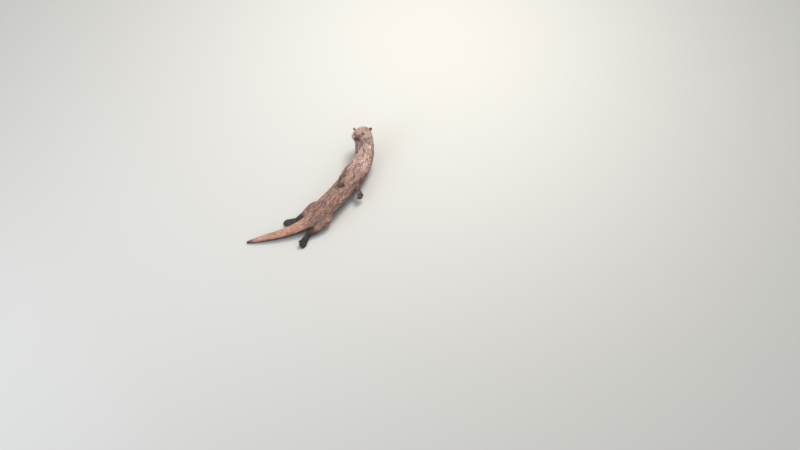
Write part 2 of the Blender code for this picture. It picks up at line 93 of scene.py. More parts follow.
def dots(a: np.ndarray, b: np.ndarray) -> np.ndarray:
    """The dot product of each pair of rows."""
    return (a * b).sum(axis=1)


def bell(values: np.ndarray, width: float) -> np.ndarray:
    """A smooth bell over 0, of height 1, which falls to a third at its width."""
    return np.exp(-((values / width) ** 2))


def linear(code: str) -> tuple:
    """Turns an sRGB hex colour into linear RGBA.

    Args:
        code: Six hex digits after a hash sign.

    Returns:
        Red, green, blue and alpha, linear.
    """
    shares = [int(code[i : i + 2], 16) / 255 for i in (1, 3, 5)]
    return (*(s / 12.92 if s <= 0.04045 else ((s + 0.055) / 1.055) ** 2.4 for s in shares), 1.0)


def add_node(tree: bpy.types.NodeTree, kind: str, settings: dict, links: dict) -> bpy.types.Node:
    """Adds a node with its settings and links.

    Args:
        tree: The node tree.
        kind: The node's type.
        settings: Values by the name of a property, or of an input where no property has it.
        links: Output sockets by the name or number of the input that they feed.

    Returns:
        The node.
    """
    node = tree.nodes.new(kind)
    for name, value in settings.items():
        if isinstance(name, str) and hasattr(node, name):
            setattr(node, name, value)
        else:
            node.inputs[name].default_value = value
    for name, socket in links.items():
        tree.links.new(socket, node.inputs[name])
    return node


def rows_of(items: bpy.types.bpy_prop_collection, name: str, width: int, kind: type) -> np.ndarray:
    """Reads one value of every item of a mesh.

    Args:
        items: The items, such as a mesh's vertices.
        name: The value's name.
        width: How many numbers it has.
        kind: The numbers' type.

    Returns:
        One row per item.
    """
    flat = np.empty(len(items) * width, kind)
    items.foreach_get(name, flat)
    return flat.reshape(-1, width)


def points_of(mesh: bpy.types.Mesh) -> np.ndarray:
    """The mesh's points as rows."""
    return rows_of(mesh.vertices, "co", 3, float)


def normals_of(mesh: bpy.types.Mesh) -> np.ndarray:
    """The normals at the mesh's points as rows."""
    return rows_of(mesh.vertex_normals, "vector", 3, np.float32).astype(float)


def edges_of(mesh: bpy.types.Mesh) -> np.ndarray:
    """The mesh's edges as rows of two point numbers."""
    return rows_of(mesh.edges, "vertices", 2, np.int32)


def set_points(mesh: bpy.types.Mesh, points: np.ndarray) -> None:
    """Moves the mesh's points."""
    mesh.vertices.foreach_set("co", points.ravel())
    mesh.update()


def neighbours_mean(values: np.ndarray, edges: np.ndarray) -> np.ndarray:
    """The mean of each point's neighbours.

    Args:
        values: One row of numbers per point.
        edges: Rows of two point numbers.

    Returns:
        The means, shaped as values.
    """
    count = len(values)
    a, b = edges.T
    valence = np.maximum(np.bincount(a, minlength=count) + np.bincount(b, minlength=count), 1)
    sums = [
        np.bincount(a, column[b], count) + np.bincount(b, column[a], count) for column in values.T
    ]
    return np.stack(sums, axis=1) / valence[:, None]


def relax(points: np.ndarray, edges: np.ndarray, weight: np.ndarray, rounds: int) -> np.ndarray:
    """Smooths a surface without shrinking it.

    Args:
        points: The surface's points.
        edges: Its edges.
        weight: How strongly each point is smoothed, from 0 to 1.
        rounds: How many times.

    Returns:
        The moved points.
    """
    inwards, outwards = 0.55, -0.56  # each step out makes good the step in before it
    for factor in (inwards, outwards) * rounds:
        step = neighbours_mean(points, edges) - points
        points = points + factor * weight[:, None] * step
    return points


def mesh_object(name: str, points: np.ndarray, faces: np.ndarray) -> bpy.types.Object:
    """Makes a smooth-shaded object from arrays.

    Args:
        name: Its name.
        points: Rows of points.
        faces: Rows of point numbers, with -1 after the last of a face with fewer corners.

    Returns:
        The linked object.
    """
    mesh = bpy.data.meshes.new(name)
    used = faces >= 0
    counts = used.sum(axis=1)
    corners = faces[used]
    mesh.vertices.add(len(points))
    mesh.vertices.foreach_set("co", np.ascontiguousarray(points, np.float32).ravel())
    mesh.loops.add(len(corners))
    mesh.loops.foreach_set("vertex_index", corners.astype(np.int32))
    mesh.polygons.add(len(faces))
    mesh.polygons.foreach_set("loop_start", (np.cumsum(counts) - counts).astype(np.int32))
    mesh.polygons.foreach_set("use_smooth", np.ones(len(faces), bool))
    mesh.update(calc_edges=True)
    made = bpy.data.objects.new(name, mesh)
    bpy.context.scene.collection.objects.link(made)
    return made


def set_field(mesh: bpy.types.Mesh, name: str, values: np.ndarray) -> None:
    """Stores one number per point under a name."""
    layer = mesh.attributes.new(name, "FLOAT", "POINT")
    layer.data.foreach_set("value", np.ascontiguousarray(values, np.float32))


def mottled(u: np.ndarray, v: np.ndarray, seed: int) -> np.ndarray:
    """Smooth chance from 0 to 1 over a plane, with a new value at each whole number.

    Args:
        u: The first place.
        v: The second place.
        seed: Of the values.

    Returns:
        Numbers from 0 to 1, shaped as u.
    """
    size = 64  # the values repeat after so many
    table = np.random.default_rng(seed).random((size, size))
    i, j = np.floor(u).astype(int), np.floor(v).astype(int)
    p, q = ramp(0, 1, u - i), ramp(0, 1, v - j)
    i, j, above, beside = i % size, j % size, (i + 1) % size, (j + 1) % size
    near = table[i, j] * (1 - q) + table[i, beside] * q
    far = table[above, j] * (1 - q) + table[above, beside] * q
    return near * (1 - p) + far * p


def tube(path: np.ndarray, radii: np.ndarray, flat: Vector, squash: float, sides: int) -> tuple:
    """A closed tapering rod along a path.

    Args:
        path: Rows of points.
        radii: The radius at each point.
        flat: The direction in which the rod is thinner.
        squash: How much thinner, as a share of its width.
        sides: How many corners a section has.

    Returns:
        Rows of points and rows of faces.
    """
    along = unit(np.gradient(path, axis=0))
    across = unit(np.cross(along, np.array(flat)))
    up = np.cross(across, along)
    angles = 2 * math.pi * np.arange(sides) / sides
    wide = np.cos(angles)[None, :, None] * across[:, None, :]
    high = np.sin(angles)[None, :, None] * up[:, None, :] * squash
    rings = path[:, None, :] + (wide + high) * radii[:, None, None]
    points = np.concatenate([rings.reshape(-1, 3), path[:1], path[-1:]])
    faces = []
    last = len(path) - 1
    for i in range(sides):
        j = (i + 1) % sides
        faces.append((i, len(points) - 2, j, -1))
        faces.append((last * sides + j, len(points) - 1, last * sides + i, -1))
        for k in range(last):
            faces.append((k * sides + i, k * sides + j, (k + 1) * sides + j, (k + 1) * sides + i))
    return points, np.array(faces)


def globe(rows: int, columns: int) -> tuple:
    """A ball of radius 1 whose poles lie on the z axis.

    Args:
        rows: How many bands lie between the poles.
        columns: How many faces go round.

    Returns:
        Rows of points, the poles last, and rows of faces.
    """
    polar = np.pi * np.arange(1, rows) / rows
    turn = 2 * np.pi * np.arange(columns) / columns
    p, t = np.meshgrid(polar, turn, indexing="ij")
    points = np.stack([np.sin(p) * np.cos(t), np.sin(p) * np.sin(t), np.cos(p)], axis=-1)
    points = np.concatenate([points.reshape(-1, 3), [[0, 0, 1], [0, 0, -1]]])
    top, bottom = len(points) - 2, len(points) - 1
    last = (rows - 2) * columns
    faces = []
    for i in range(columns):
        j = (i + 1) % columns
        faces.append((top, i, j, -1))
        faces.append((bottom, last + j, last + i, -1))
        for k in range(0, last, columns):
            faces.append((k + i, k + columns + i, k + columns + j, k + j))
    return points, np.array(faces)


def joined(parts: list) -> tuple:
    """Joins several rods into one table of points and one of faces.

    Args:
        parts: The points and faces of each rod.

    Returns:
        Rows of points and rows of faces.
    """
    points = np.concatenate([p for p, _ in parts])
    starts = np.cumsum([0] + [len(p) for p, _ in parts[:-1]])
    faces = np.concatenate([np.where(f >= 0, f + s, -1) for (_, f), s in zip(parts, starts)])
    return points, faces


# -------- plan of the body


class Region(Enum):
    """The parts of the body that differ in their coat."""

    HEAD = 0
    EAR = 1
    NECK = 2
    TRUNK = 3
    TAIL = 4
    FORE_LEG = 5
    FORE_PAW = 6
    HIND_LEG = 7
    HIND_PAW = 8

    @staticmethod
    def of(node: str) -> "Region":
        """The region of a named solid."""
        return Region[node.upper().removesuffix("_LEFT").removesuffix("_RIGHT")]


@dataclass
class HeadPlan:
    """The head's place and axes: x to the nose, y to the left and z to the crown."""

    bearing: float = 204.0  # of the muzzle, in degrees from +Y towards +X
    elevation: float = 35.5
    roll: float = 22.0
    eye_mm: tuple = (50.0, 22.8, 14.0)
    eye_radius_mm: float = 6.0
    nose_mm: tuple = (88.0, 0.0, 1.0)
    nose_radii_mm: tuple = (7.5, 13.5, 10.0)
    ear_mm: tuple = (-11.0, 51.0, 24.0)
    axes: np.ndarray = field(init=False)
    origin: np.ndarray = field(init=False)

    def __post_init__(self) -> None:
        """Turns the axes and finds the origin from the solids of the eyes."""
        bearing, elevation = math.radians(self.bearing), math.radians(self.elevation)
        level = math.cos(elevation)
        noseward = Vector((level * math.sin(bearing), level * math.cos(bearing), math.sin(elevation)))
        left = Vector((0, 0, 1)).cross(noseward).normalized()
        left.rotate(Matrix.Rotation(math.radians(self.roll), 3, noseward))
        self.axes = np.array([noseward, left, noseward.cross(left)])
        boxes = [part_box(f"eye_{side}") for side in SIDES.values()]
        middle = np.mean([np.array(corner) for box in boxes for corner in box], axis=0)
        x, _, z = self.eye_mm
        self.origin = middle - (self.axes[0] * x + self.axes[2] * z) * MM

    def eye(self, side: int) -> np.ndarray:
        """The middle of one eye in the head's axes, in millimetres: side is 1 for the left."""
        return np.array(self.eye_mm) * (1, side, 1)

    def ear(self, side: int) -> np.ndarray:
        """The middle of one ear in the head's axes, in millimetres."""
        return np.array(self.ear_mm) * (1, side, 1)

    def local(self, points: np.ndarray) -> np.ndarray:
        """Points in the head's own axes, in millimetres."""
        return (points - self.origin) @ self.axes.T / MM

    def world(self, places: np.ndarray) -> np.ndarray:
        """World points of places in the head's own axes, in millimetres."""
        return np.asarray(places, float) * MM @ self.axes + self.origin


@dataclass
class Spine:
    """The body's axis from the tail's tip to the skull."""

    # place from the tail's tip, bearing in degrees from +Y towards +X, and height: the tail's root
    # is at 0.365, the hips at 0.500, the shoulders at 0.790 and the skull at 1.060
    stations: tuple = (
        (0.000, 78.0, 0.0060), (0.060, 77.5, 0.0110), (0.170, 75.5, 0.0190),
        (0.280, 68.0, 0.0275), (0.365, 58.5, 0.0375), (0.430, 50.0, 0.0520),
        (0.500, 43.0, 0.0610), (0.600, 38.7, 0.0620), (0.700, 35.5, 0.0635),
        (0.790, 31.0, 0.0645), (0.865, 23.0, 0.0740), (0.920, 11.0, 0.0930),
        (0.975, -6.0, 0.1220), (1.022, -15.0, 0.1480), (1.060, -18.0, 0.1680),
    )
    step: float = 0.0025
    head_at: float = 1.044  # the skull's middle
    block: int = 8000  # points that are looked up at a time, to spare memory
    places: np.ndarray = field(init=False)
    points: np.ndarray = field(init=False)
    headward: np.ndarray = field(init=False)
    left: np.ndarray = field(init=False)
    bellyward: np.ndarray = field(init=False)

    def __post_init__(self) -> None:
        """Follows the bearings from the tail to the head."""
        end = self.stations[-1][0]
        self.places = np.linspace(0, end, round(end / self.step) + 1)
        heights = self.value(2, self.places)
        middles = (self.places[1:] + self.places[:-1]) / 2
        bearings = np.radians(self.value(1, middles))
        rise = np.diff(heights)
        level = np.sqrt(np.diff(self.places) ** 2 - rise**2)
        steps = np.stack([level * np.sin(bearings), level * np.cos(bearings), rise], axis=1)
        start = np.array([[0, 0, heights[0]]])
        self.points = np.concatenate([start, start + np.cumsum(steps, axis=0)])
        self.headward = unit(np.gradient(self.points, axis=0))
        self.left = unit(np.cross(self.headward, (0, 0, 1)))
        self.bellyward = unit(np.cross(self.left, self.headward))

    def value(self, column: int, at: np.ndarray) -> np.ndarray:
        """A smooth value of one column of the stations, anywhere along the spine.

        Args:
            column: Its number within a station.
            at: Places from the tail's tip.

        Returns:
            The value at each place.
        """
        table = np.array(self.stations)
        places, values = table[:, 0].copy(), table[:, column].copy()
        slopes = np.gradient(values, places)
        i = np.clip(np.searchsorted(places, at) - 1, 0, len(places) - 2)
        span = places[i + 1] - places[i]
        t = np.clip((at - places[i]) / span, 0, 1)
        rise = (2 * t**3 - 3 * t**2 + 1) * values[i] + (3 * t**2 - 2 * t**3) * values[i + 1]
        lean = (t**3 - 2 * t**2 + t) * slopes[i] + (t**3 - t**2) * slopes[i + 1]
        return rise + lean * span

    def attach(self, head: HeadPlan) -> None:
        """Moves the spine so that the skull's middle is where the head has it.

        Args:
            head: The head, which stays.
        """
        i = int(np.argmin(abs(self.places - self.head_at)))
        exact = self.points[i] + self.headward[i] * (self.head_at - self.places[i])
        self.points = self.points + (head.origin - exact)

    def nearest(self, points: np.ndarray) -> np.ndarray:
        """Finds the nearest place on the spine for each point.

        Args:
            points: Rows of points.

        Returns:
            The numbers of places.
        """
        found = np.empty(len(points), int)
        for start in range(0, len(points), self.block):
            some = points[start : start + self.block]
            gaps = ((some[:, None, :] - self.points[None]) ** 2).sum(axis=2)
            found[start : start + self.block] = gaps.argmin(axis=1)
        return found

    def frame(self, at: float) -> Matrix:
        """The matrix of headward, left and bellyward at a place.

        Args:
            at: The place, from the tail's tip.

        Returns:
            The matrix.
        """
        i = min(max(int(np.argmin(abs(self.places - at))), 1), len(self.places) - 2)
        turn = Matrix((self.headward[i], self.left[i], self.bellyward[i])).transposed().to_4x4()
        turn.translation = self.points[i] + self.headward[i] * (at - self.places[i])
        return turn


@dataclass(frozen=True)
class PawPlan:
    """A webbed foot of five toes."""

    length: float
    palm_width: float
    thickness: float
    toe_radius: float
    spread: float  # between the outer toes, in degrees
    toe_lengths: tuple  # shares of the longest, from the inner toe
    claw: float
    curl: float  # how far the toes' tips sink towards the sole


FORE_PAW = PawPlan(0.062, 0.038, 0.019, 0.0058, 30.0, (0.80, 0.94, 1.0, 0.96, 0.82), 0.008, 0.005)
HIND_PAW = PawPlan(0.095, 0.044, 0.021, 0.0066, 24.0, (0.74, 0.88, 0.97, 1.0, 0.92), 0.008, 0.004)


@dataclass(frozen=True)
class LimbPlan:
    """A leg and its paw, placed from a point on the spine: headward, outward and bellyward."""

    name: str
    side: int  # 1 for the left and -1 for the right
    at: float  # the point's place on the spine
    joints: tuple  # from the leg's root to the wrist or heel
    tip: tuple  # where the longest toe ends
    instep: tuple  # the direction that the paw's back faces
    paw: PawPlan

    @property
    def columns(self) -> tuple:
        """The columns of the leg's and of the paw's weights."""
        return tuple(Region[f"{self.name.upper()}_{part}"].value for part in ("LEG", "PAW"))

    def placed(self, spine: Spine, place: tuple) -> Vector:
        """The world point of a place."""
        return spine.frame(self.at) @ Vector((place[0], place[1] * self.side, place[2]))

    def path(self, spine: Spine) -> np.ndarray:
        """World points from the leg's root through its joints to the toes' tip."""
        return np.array([self.placed(spine, place) for place in (*self.joints, self.tip)])

    def paw_frame(self, spine: Spine) -> Matrix:
        """The paw's frame at the wrist or heel: x to the toes, z out of the instep.

        Args:
            spine: The spine that the leg hangs from.

        Returns:
            The frame's matrix.
        """
        start, end = self.placed(spine, self.joints[-1]), self.placed(spine, self.tip)
        toeward = (end - start).normalized()
        headward, outward, bellyward = self.instep
        turn = spine.frame(self.at).to_3x3()
        instep = turn @ Vector((headward, outward * self.side, bellyward))
        across = instep.cross(toeward).normalized()
        made = Matrix((toeward, across, toeward.cross(across))).transposed().to_4x4()
        made.translation = start
        return made

    def toes(self, spine: Spine) -> list:
        """Each toe's knuckle, middle and tip in the paw's frame, from the inner toe.

        Args:
            spine: The spine that the leg hangs from.

        Returns:
            Five tuples of three points.
        """
        paw, frame_here = self.paw, self.paw_frame(spine)
        facing = frame_here.col[1].xyz.dot(spine.frame(self.at).col[1].xyz)
        inner = -self.side if facing > 0 else self.side
        made = []
        for number in range(5):
            share = (number - 2) / 2
            angle = math.radians(paw.spread / 2) * share * -inner
            reach = paw.length * 0.50 * paw.toe_lengths[number]
            aside = -inner * share * paw.palm_width * 0.40
            start = Vector((paw.length * (0.50 - 0.05 * share**2), aside, 0))
            ahead = Vector((math.cos(angle), math.sin(angle), 0))
            middle = start + ahead * reach * 0.5 + Vector((0, 0, paw.toe_radius * 0.25))
            tip = start + ahead * (reach - paw.toe_radius) - Vector((0, 0, paw.curl))
            spots = [frame_here @ place for place in (start, middle, tip)]
            for spot in spots:  # a toe that would sink into the floor lies on it
                spot.z = max(spot.z, paw.toe_radius * 0.62)
            made.append(tuple(frame_here.inverted() @ spot for spot in spots))
        return made


LIMBS = (
    LimbPlan(
        "fore", 1, 0.800,
        ((0.006, 0.024, 0.014), (-0.026, 0.026, 0.028), (-0.056, 0.034, 0.039),
         (-0.079, 0.052, 0.034), (-0.0945, 0.0703, 0.014)),
        (-0.1244, 0.1037, -0.014), (0.10, 0.70, 0.70), FORE_PAW,
    ),
    LimbPlan(
        "fore", -1, 0.800,
        ((0.004, 0.033, 0.012), (-0.031, 0.040, 0.023), (-0.065, 0.040, 0.036),
         (-0.087, 0.040, 0.048), (-0.103, 0.038, 0.058)),
        (-0.156, 0.008, 0.069), (0.20, 0.30, 0.95), FORE_PAW,
    ),
    LimbPlan(
        "hind", 1, 0.460,
        ((0.014, 0.026, -0.004), (0.000, 0.046, -0.008), (-0.045, 0.054, -0.015),
         (-0.092, 0.053, -0.020), (-0.128, 0.044, -0.021)),
        (-0.222, 0.077, -0.010), (-0.10, 0.80, 0.60), HIND_PAW,
    ),
    LimbPlan(
        "hind", -1, 0.460,
        ((0.014, 0.026, -0.004), (0.002, 0.048, -0.010), (-0.036, 0.058, -0.018),
         (-0.072, 0.064, -0.023), (-0.104, 0.069, -0.022)),
        (-0.178, 0.100, -0.016), (-0.10, 0.50, 0.85), HIND_PAW,
    ),
)


@dataclass
class PawForm:
    """The rounded form of one paw: palm, pads, knuckles, toes and webs in one surface."""

    limb: LimbPlan
    spine: Spine
    slim: float = 0.78  # of the toes, inside their solids, so that each stands clear of the next
    trim: float = 0.0006  # for the short coat
    blend: float = 0.0017
    turn: np.ndarray = field(init=False)
    back: np.ndarray = field(init=False)
    toes: list = field(init=False)

    def __post_init__(self) -> None:
        """Takes the paw's frame and its toes from the plan."""
        self.turn = np.array(self.limb.paw_frame(self.spine))
        self.back = np.linalg.inv(self.turn)
        self.toes = [[np.array(p) for p in toe] for toe in self.limb.toes(self.spine)]

    def local(self, points: np.ndarray) -> np.ndarray:
        """World points in the paw's frame, in metres."""
        return points @ self.back[:3, :3].T + self.back[:3, 3]

    def about(self, places: np.ndarray, ahead: float, reach: float) -> np.ndarray:
        """Which places lie in a ball round a point ahead of the wrist, both in paw lengths."""
        length = self.limb.paw.length
        return lengths(places - (length * ahead, 0, 0)) < length * reach

    @staticmethod
    def ball(places: np.ndarray, centre: tuple, radii: tuple) -> np.ndarray:
        """The distance to an ellipsoid, good near its surface.

        Args:
            places: Rows of points.
            centre: The ellipsoid's middle.
            radii: Its half axes.

        Returns:
            The distances, negative within.
        """
        offset = (places - centre) / radii
        size = lengths(offset)
        return size * (size - 1) / np.maximum(lengths(offset / radii), 1e-9)

    @staticmethod
    def rod(places: np.ndarray, start: np.ndarray, end: np.ndarray, radii: tuple) -> np.ndarray:
        """The distance to a round-ended rod whose radius changes along it.

        Args:
            places: Rows of points.
            start: Its first end.
            end: Its second end.
            radii: Its radius at each end.

        Returns:
            The distances, negative within.
        """
        run = end - start
        share = np.clip(((places - start) @ run) / (run @ run), 0, 1)
        gap = lengths(places - start - share[:, None] * run)
        return gap - radii[0] - (radii[1] - radii[0]) * share

    def distance(self, places: np.ndarray) -> np.ndarray:
        """The distance of places from the paw's surface.

        Args:
            places: Points in the paw's frame.

        Returns:
            The distances, negative within.
        """
        paw = self.limb.paw
        length, half, width = paw.length, paw.thickness / 2, paw.palm_width / 2
        palm = (length * 0.34, 0, -0.1 * half), (length * 0.30, width * 0.96, half)
        pads = (length * 0.45, 0, -half * 0.55), (length * 0.13, width * 0.74, half * 0.60)
        forms = [self.ball(places, *palm), self.ball(places, *pads)]
        radius = paw.toe_radius * self.slim
        for start, middle, tip in self.toes:
            heel = np.array([length * 0.20, start[1] * 0.5, half * 0.25])
            forms.append(self.rod(places, heel, start, (radius * 0.72, radius)))
            forms.append(self.rod(places, start, middle, (radius, radius * 0.94)))
            forms.append(self.rod(places, middle, tip, (radius * 0.94, radius * 0.90)))
            knuckle = middle + (0, 0, radius * 0.22)
            forms.append(self.ball(places, knuckle, (radius * 1.1, radius * 1.02, radius * 0.95)))
            pad = tip - (0, 0, radius * 0.42)
            forms.append(self.ball(places, pad, (radius * 1.12, radius * 0.92, radius * 0.72)))
        for (a, _, b), (c, _, d) in zip(self.toes, self.toes[1:]):
            for share in (0.0, 0.15, 0.30, 0.45):
                sag = -0.0012 * share
                first = a + (b - a) * share + (0, 0, sag)
                second = c + (d - c) * share + (0, 0, sag)
                forms.append(self.rod(places, first, second, (0.0016, 0.0016)))
        whole = forms[0]
        for form in forms[1:]:
            share = np.maximum(self.blend - abs(whole - form), 0) / self.blend
            whole = np.minimum(whole, form) - share * share * self.blend / 4
        return whole + self.trim

    def cleft(self, places: np.ndarray) -> np.ndarray:
        """How near each place is to being midway between two toes.

        Args:
            places: Points in the paw's frame.

        Returns:
            Numbers from 0 to 1.
        """
        gaps = []
        for start, middle, tip in self.toes:
            first = self.rod(places, start, middle, (0.0, 0.0))
            gaps.append(np.minimum(first, self.rod(places, middle, tip, (0.0, 0.0))))
        gaps = np.sort(gaps, axis=0)
        between = bell(gaps[1] - gaps[0], 0.0018)
        return between * ramp(0.46, 0.62, places[:, 0] / self.limb.paw.length)

    def fit(self, points: np.ndarray, hold: np.ndarray, rounds: int) -> np.ndarray:
        """Draws points onto the paw's surface.

        Args:
            points: World points.
            hold: How far each point goes, from 0 to 1.
            rounds: How many steps are taken.

        Returns:
            The moved points.
        """
        places = self.local(points)
        small = 0.0002
        for _ in range(rounds):
            here = self.distance(places)
            slope = np.stack(
                [self.distance(places + small * np.eye(3)[k]) - here for k in range(3)], axis=1
            )
            step = np.clip(here, -0.0025, 0.0025) * hold * 0.8
            places = places - unit(slope) * step[:, None]
        return places @ self.turn[:3, :3].T + self.turn[:3, 3]


# -------- skin


@dataclass(frozen=True)
class Growth:
    """How the coat grows on one region, in millimetres."""

    length: float
    width: float
    depth: float  # from the skin to the outside of the coat
    spacing: float  # between roots
    lock: float  # across a wet lock, which many tufts run into
    cling: float  # from 0, each tuft on its own, to 1, all tips of a lock together


GROWTH = {
    Region.HEAD: Growth(6.0, 0.64, 1.5, 1.23, 4.2, 0.40),
    Region.EAR: Growth(2.8, 0.50, 0.5, 0.95, 2.6, 0.20),
    Region.NECK: Growth(13.5, 0.96, 3.4, 1.92, 8.5, 0.74),
    Region.TRUNK: Growth(16.5, 1.16, 3.9, 2.28, 10.0, 0.74),
    Region.TAIL: Growth(10.5, 0.92, 2.3, 1.86, 5.5, 0.50),
    Region.FORE_LEG: Growth(8.0, 0.85, 2.0, 1.75, 5.5, 0.60),
    Region.FORE_PAW: Growth(2.8, 0.52, 0.5, 1.05, 2.6, 0.20),
    Region.HIND_LEG: Growth(10.5, 1.00, 2.6, 1.95, 6.5, 0.62),
    Region.HIND_PAW: Growth(3.0, 0.55, 0.5, 1.15, 2.8, 0.20),
}


@dataclass
class Skin:
    """One skin from nose to tail's tip and toes, inside the solids by the coat's depth."""

    head: HeadPlan
    spine: Spine
    voxel: float = 0.0034
    swell: float = 0.0006  # closes the gaps between the solids before they melt together
    lid_width_mm: float = 5.2  # half the length of the opening between the lids
    lid_height_mm: float = 3.6
    ear_turn: float = 28.0  # of the ears' hollows from the nose outwards, in degrees
    # the mouth's line in the head's side view: places towards the nose, and heights
    mouth_mm: tuple = ((40, 46, 53, 62, 72, 80, 90), (-13, -16.5, -19.5, -21.5, -20.5, -18, -15.5))
    collar_mm: tuple = ((83.8, 0.0, -0.4), (8.2, 15.6, 12.2))  # skin round the nose pad
    # skin between the right heel and the tail's root: places beside that leg, and a radius
    fold: tuple = (((-0.122, 0.056, -0.017), (-0.104, 0.053, -0.018)), 0.009)
    floor_gap_mm: float = 0.3
    blend_rounds: int = 14  # of the passing of one region's coat into the next one's
    comb_rounds: int = 30
    piece: bpy.types.Object = field(init=False)
    paws: list = field(init=False)
    weights: np.ndarray = field(init=False)
    flow: np.ndarray = field(init=False)
    marks: dict = field(init=False)

    def build(self) -> bpy.types.Object:
        """Melts, smooths, insets and sculpts the skin.

        Returns:
            The skin's object.
        """
        flesh = [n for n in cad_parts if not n.startswith(("eye", "nose"))]
        self.paws = [PawForm(limb, self.spine) for limb in LIMBS]
        self.piece = self.melt(flesh)
        self.refine()
        mesh = self.piece.data
        points, edges = points_of(mesh), edges_of(mesh)
        owner = self.owners(flesh, points)
        shares = np.eye(len(Region))[owner]
        for _ in range(self.blend_rounds):
            shares = 0.4 * shares + 0.6 * neighbours_mean(shares, edges)
        self.weights = self.pass_into_paws(shares, points)
        points = self.inset(points, edges)
        points = self.shape_paws(points, edges)
        points = self.sculpt(points)
        points[:, 2] = np.maximum(points[:, 2], self.floor_gap_mm * MM)
        set_points(mesh, points)
        self.flow = self.comb(points, edges, owner)
        self.marks = Markings(self).fields(points, self.weights)
        for name, values in self.marks.items():
            set_field(mesh, name, values)
        self.unwrap()
        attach(self.piece, "root")
        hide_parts(*flesh)
        return self.piece

    def melt(self, flesh: list) -> bpy.types.Object:
        """Joins the swollen solids, eyes, toes and nose's collar and remeshes them as one.

        Args:
            flesh: The names of the solids under the skin.

        Returns:
            The skin's first form.
        """
        clay = bmesh.new()
        for name in flesh:
            part = bmesh.new()
            part.from_mesh(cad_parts[name].data)
            bmesh.ops.remove_doubles(part, verts=part.verts, dist=1e-5)
            bmesh.ops.recalc_face_normals(part, faces=part.faces)
            part.normal_update()
            for vert in part.verts:
                vert.co += vert.normal * self.swell
            copy = bpy.data.meshes.new("part")
            part.to_mesh(copy)
            clay.from_mesh(copy)
            bpy.data.meshes.remove(copy)
            part.free()
        eyes = [self.head.world(self.head.eye(side)) for side in SIDES]
        balls = [(place, self.head.eye_radius_mm * MM) for place in eyes]
        balls += [(LIMBS[3].placed(self.spine, place), self.fold[1]) for place in self.fold[0]]
        for limb in LIMBS:
            turn, radius = limb.paw_frame(self.spine), limb.paw.toe_radius * 0.85
            balls.extend((turn @ p, radius) for toe in limb.toes(self.spine) for p in toe[1:])
        for place, radius in balls:
            spot = Matrix.Translation(place)
            bmesh.ops.create_icosphere(clay, subdivisions=3, radius=radius, matrix=spot)
        centre, radii = (np.array(row) for row in self.collar_mm)
        turn = Matrix(self.head.axes.T.tolist()).to_4x4()
        spot = Matrix.Translation(self.head.world(centre)) @ turn
        spot = spot @ Matrix.Diagonal((*(radii * MM), 1))
        bmesh.ops.create_icosphere(clay, subdivisions=4, radius=1, matrix=spot)
        mesh = bpy.data.meshes.new("skin")
        clay.to_mesh(mesh)
        clay.free()
        made = bpy.data.objects.new("skin", mesh)
        bpy.context.scene.collection.objects.link(made)
        remesh = made.modifiers.new("melt", "REMESH")
        remesh.mode = "VOXEL"
        remesh.voxel_size = self.voxel
        remesh.use_smooth_shade = True
        graph = bpy.context.evaluated_depsgraph_get()
        solid = bpy.data.meshes.new_from_object(made.evaluated_get(graph))
        made.modifiers.clear()
        made.data = solid
        bpy.data.meshes.remove(mesh)
        return made

    def refine(self) -> None:
        """Smooths the whole, then splits the faces of the head and paws for the finer forms."""
        mesh = self.piece.data
        points = points_of(mesh)
        local = self.head.local(points)
        near_head = ramp(75, 45, lengths(local - (30, 0, 0)))
        weight = (1.0 - 0.60 * near_head) * (1.0 - 0.85 * self.paw_points(points))
        points = relax(points, edges_of(mesh), weight, 10)
        set_points(mesh, points)
        for level in range(2):
            shape = bmesh.new()
            shape.from_mesh(mesh)
            points = np.array([v.co for v in shape.verts])
            chosen = self.fine_points(points, level)
            edges = [e for e in shape.edges if chosen[e.verts[0].index] and chosen[e.verts[1].index]]
            bmesh.ops.subdivide_edges(shape, edges=edges, cuts=1, use_grid_fill=True)
            shape.to_mesh(mesh)
            shape.free()
            points = points_of(mesh)
            chosen = self.fine_points(points, level).astype(float)
            set_points(mesh, relax(points, edges_of(mesh), chosen, 3))

    def fine_points(self, points: np.ndarray, level: int) -> np.ndarray:
        """Which points lie where faces are split at this level.

        Args:
            points: Rows of points.
            level: 0 for the first splitting and 1 for the second.

        Returns:
            True for each such point.
        """
        local = self.head.local(points)
        if level == 0:
            head = lengths((local - (38, 0, -4)) / (58, 54, 42)) < 1
            ears = np.zeros(len(points), bool)
            for side in SIDES:
                ears |= lengths(local - self.head.ear(side)) < 19
            return head | ears | self.paw_points(points)
        fine = (local[:, 0] > 70) & (lengths(local - (80, 0, -8)) < 20)
        fine |= self.lip_gap(local) < 3.0
        for form in self.paws:
            reach = form.limb.paw.length
            places = form.local(points)
            toes = form.about(places, 0.76, 0.34) & (places[:, 0] > reach * 0.52)
            fine |= toes & (form.distance(places) < 0.005)
        for side in SIDES:
            fine |= lengths(local - self.head.eye(side)) < 13
            fine |= lengths(local - self.head.ear(side)) < 13
        return fine

    def paw_points(self, points: np.ndarray) -> np.ndarray:
        """Which points lie on or round a paw.

        Args:
            points: Rows of points.

        Returns:
            True for each such point.
        """
        paws = np.zeros(len(points), bool)
        for form in self.paws:
            places = form.local(points)
            near = form.about(places, 0.52, 0.64) & (places[:, 0] > -0.002)
            paws |= near & (form.distance(places) < 0.006)
        return paws

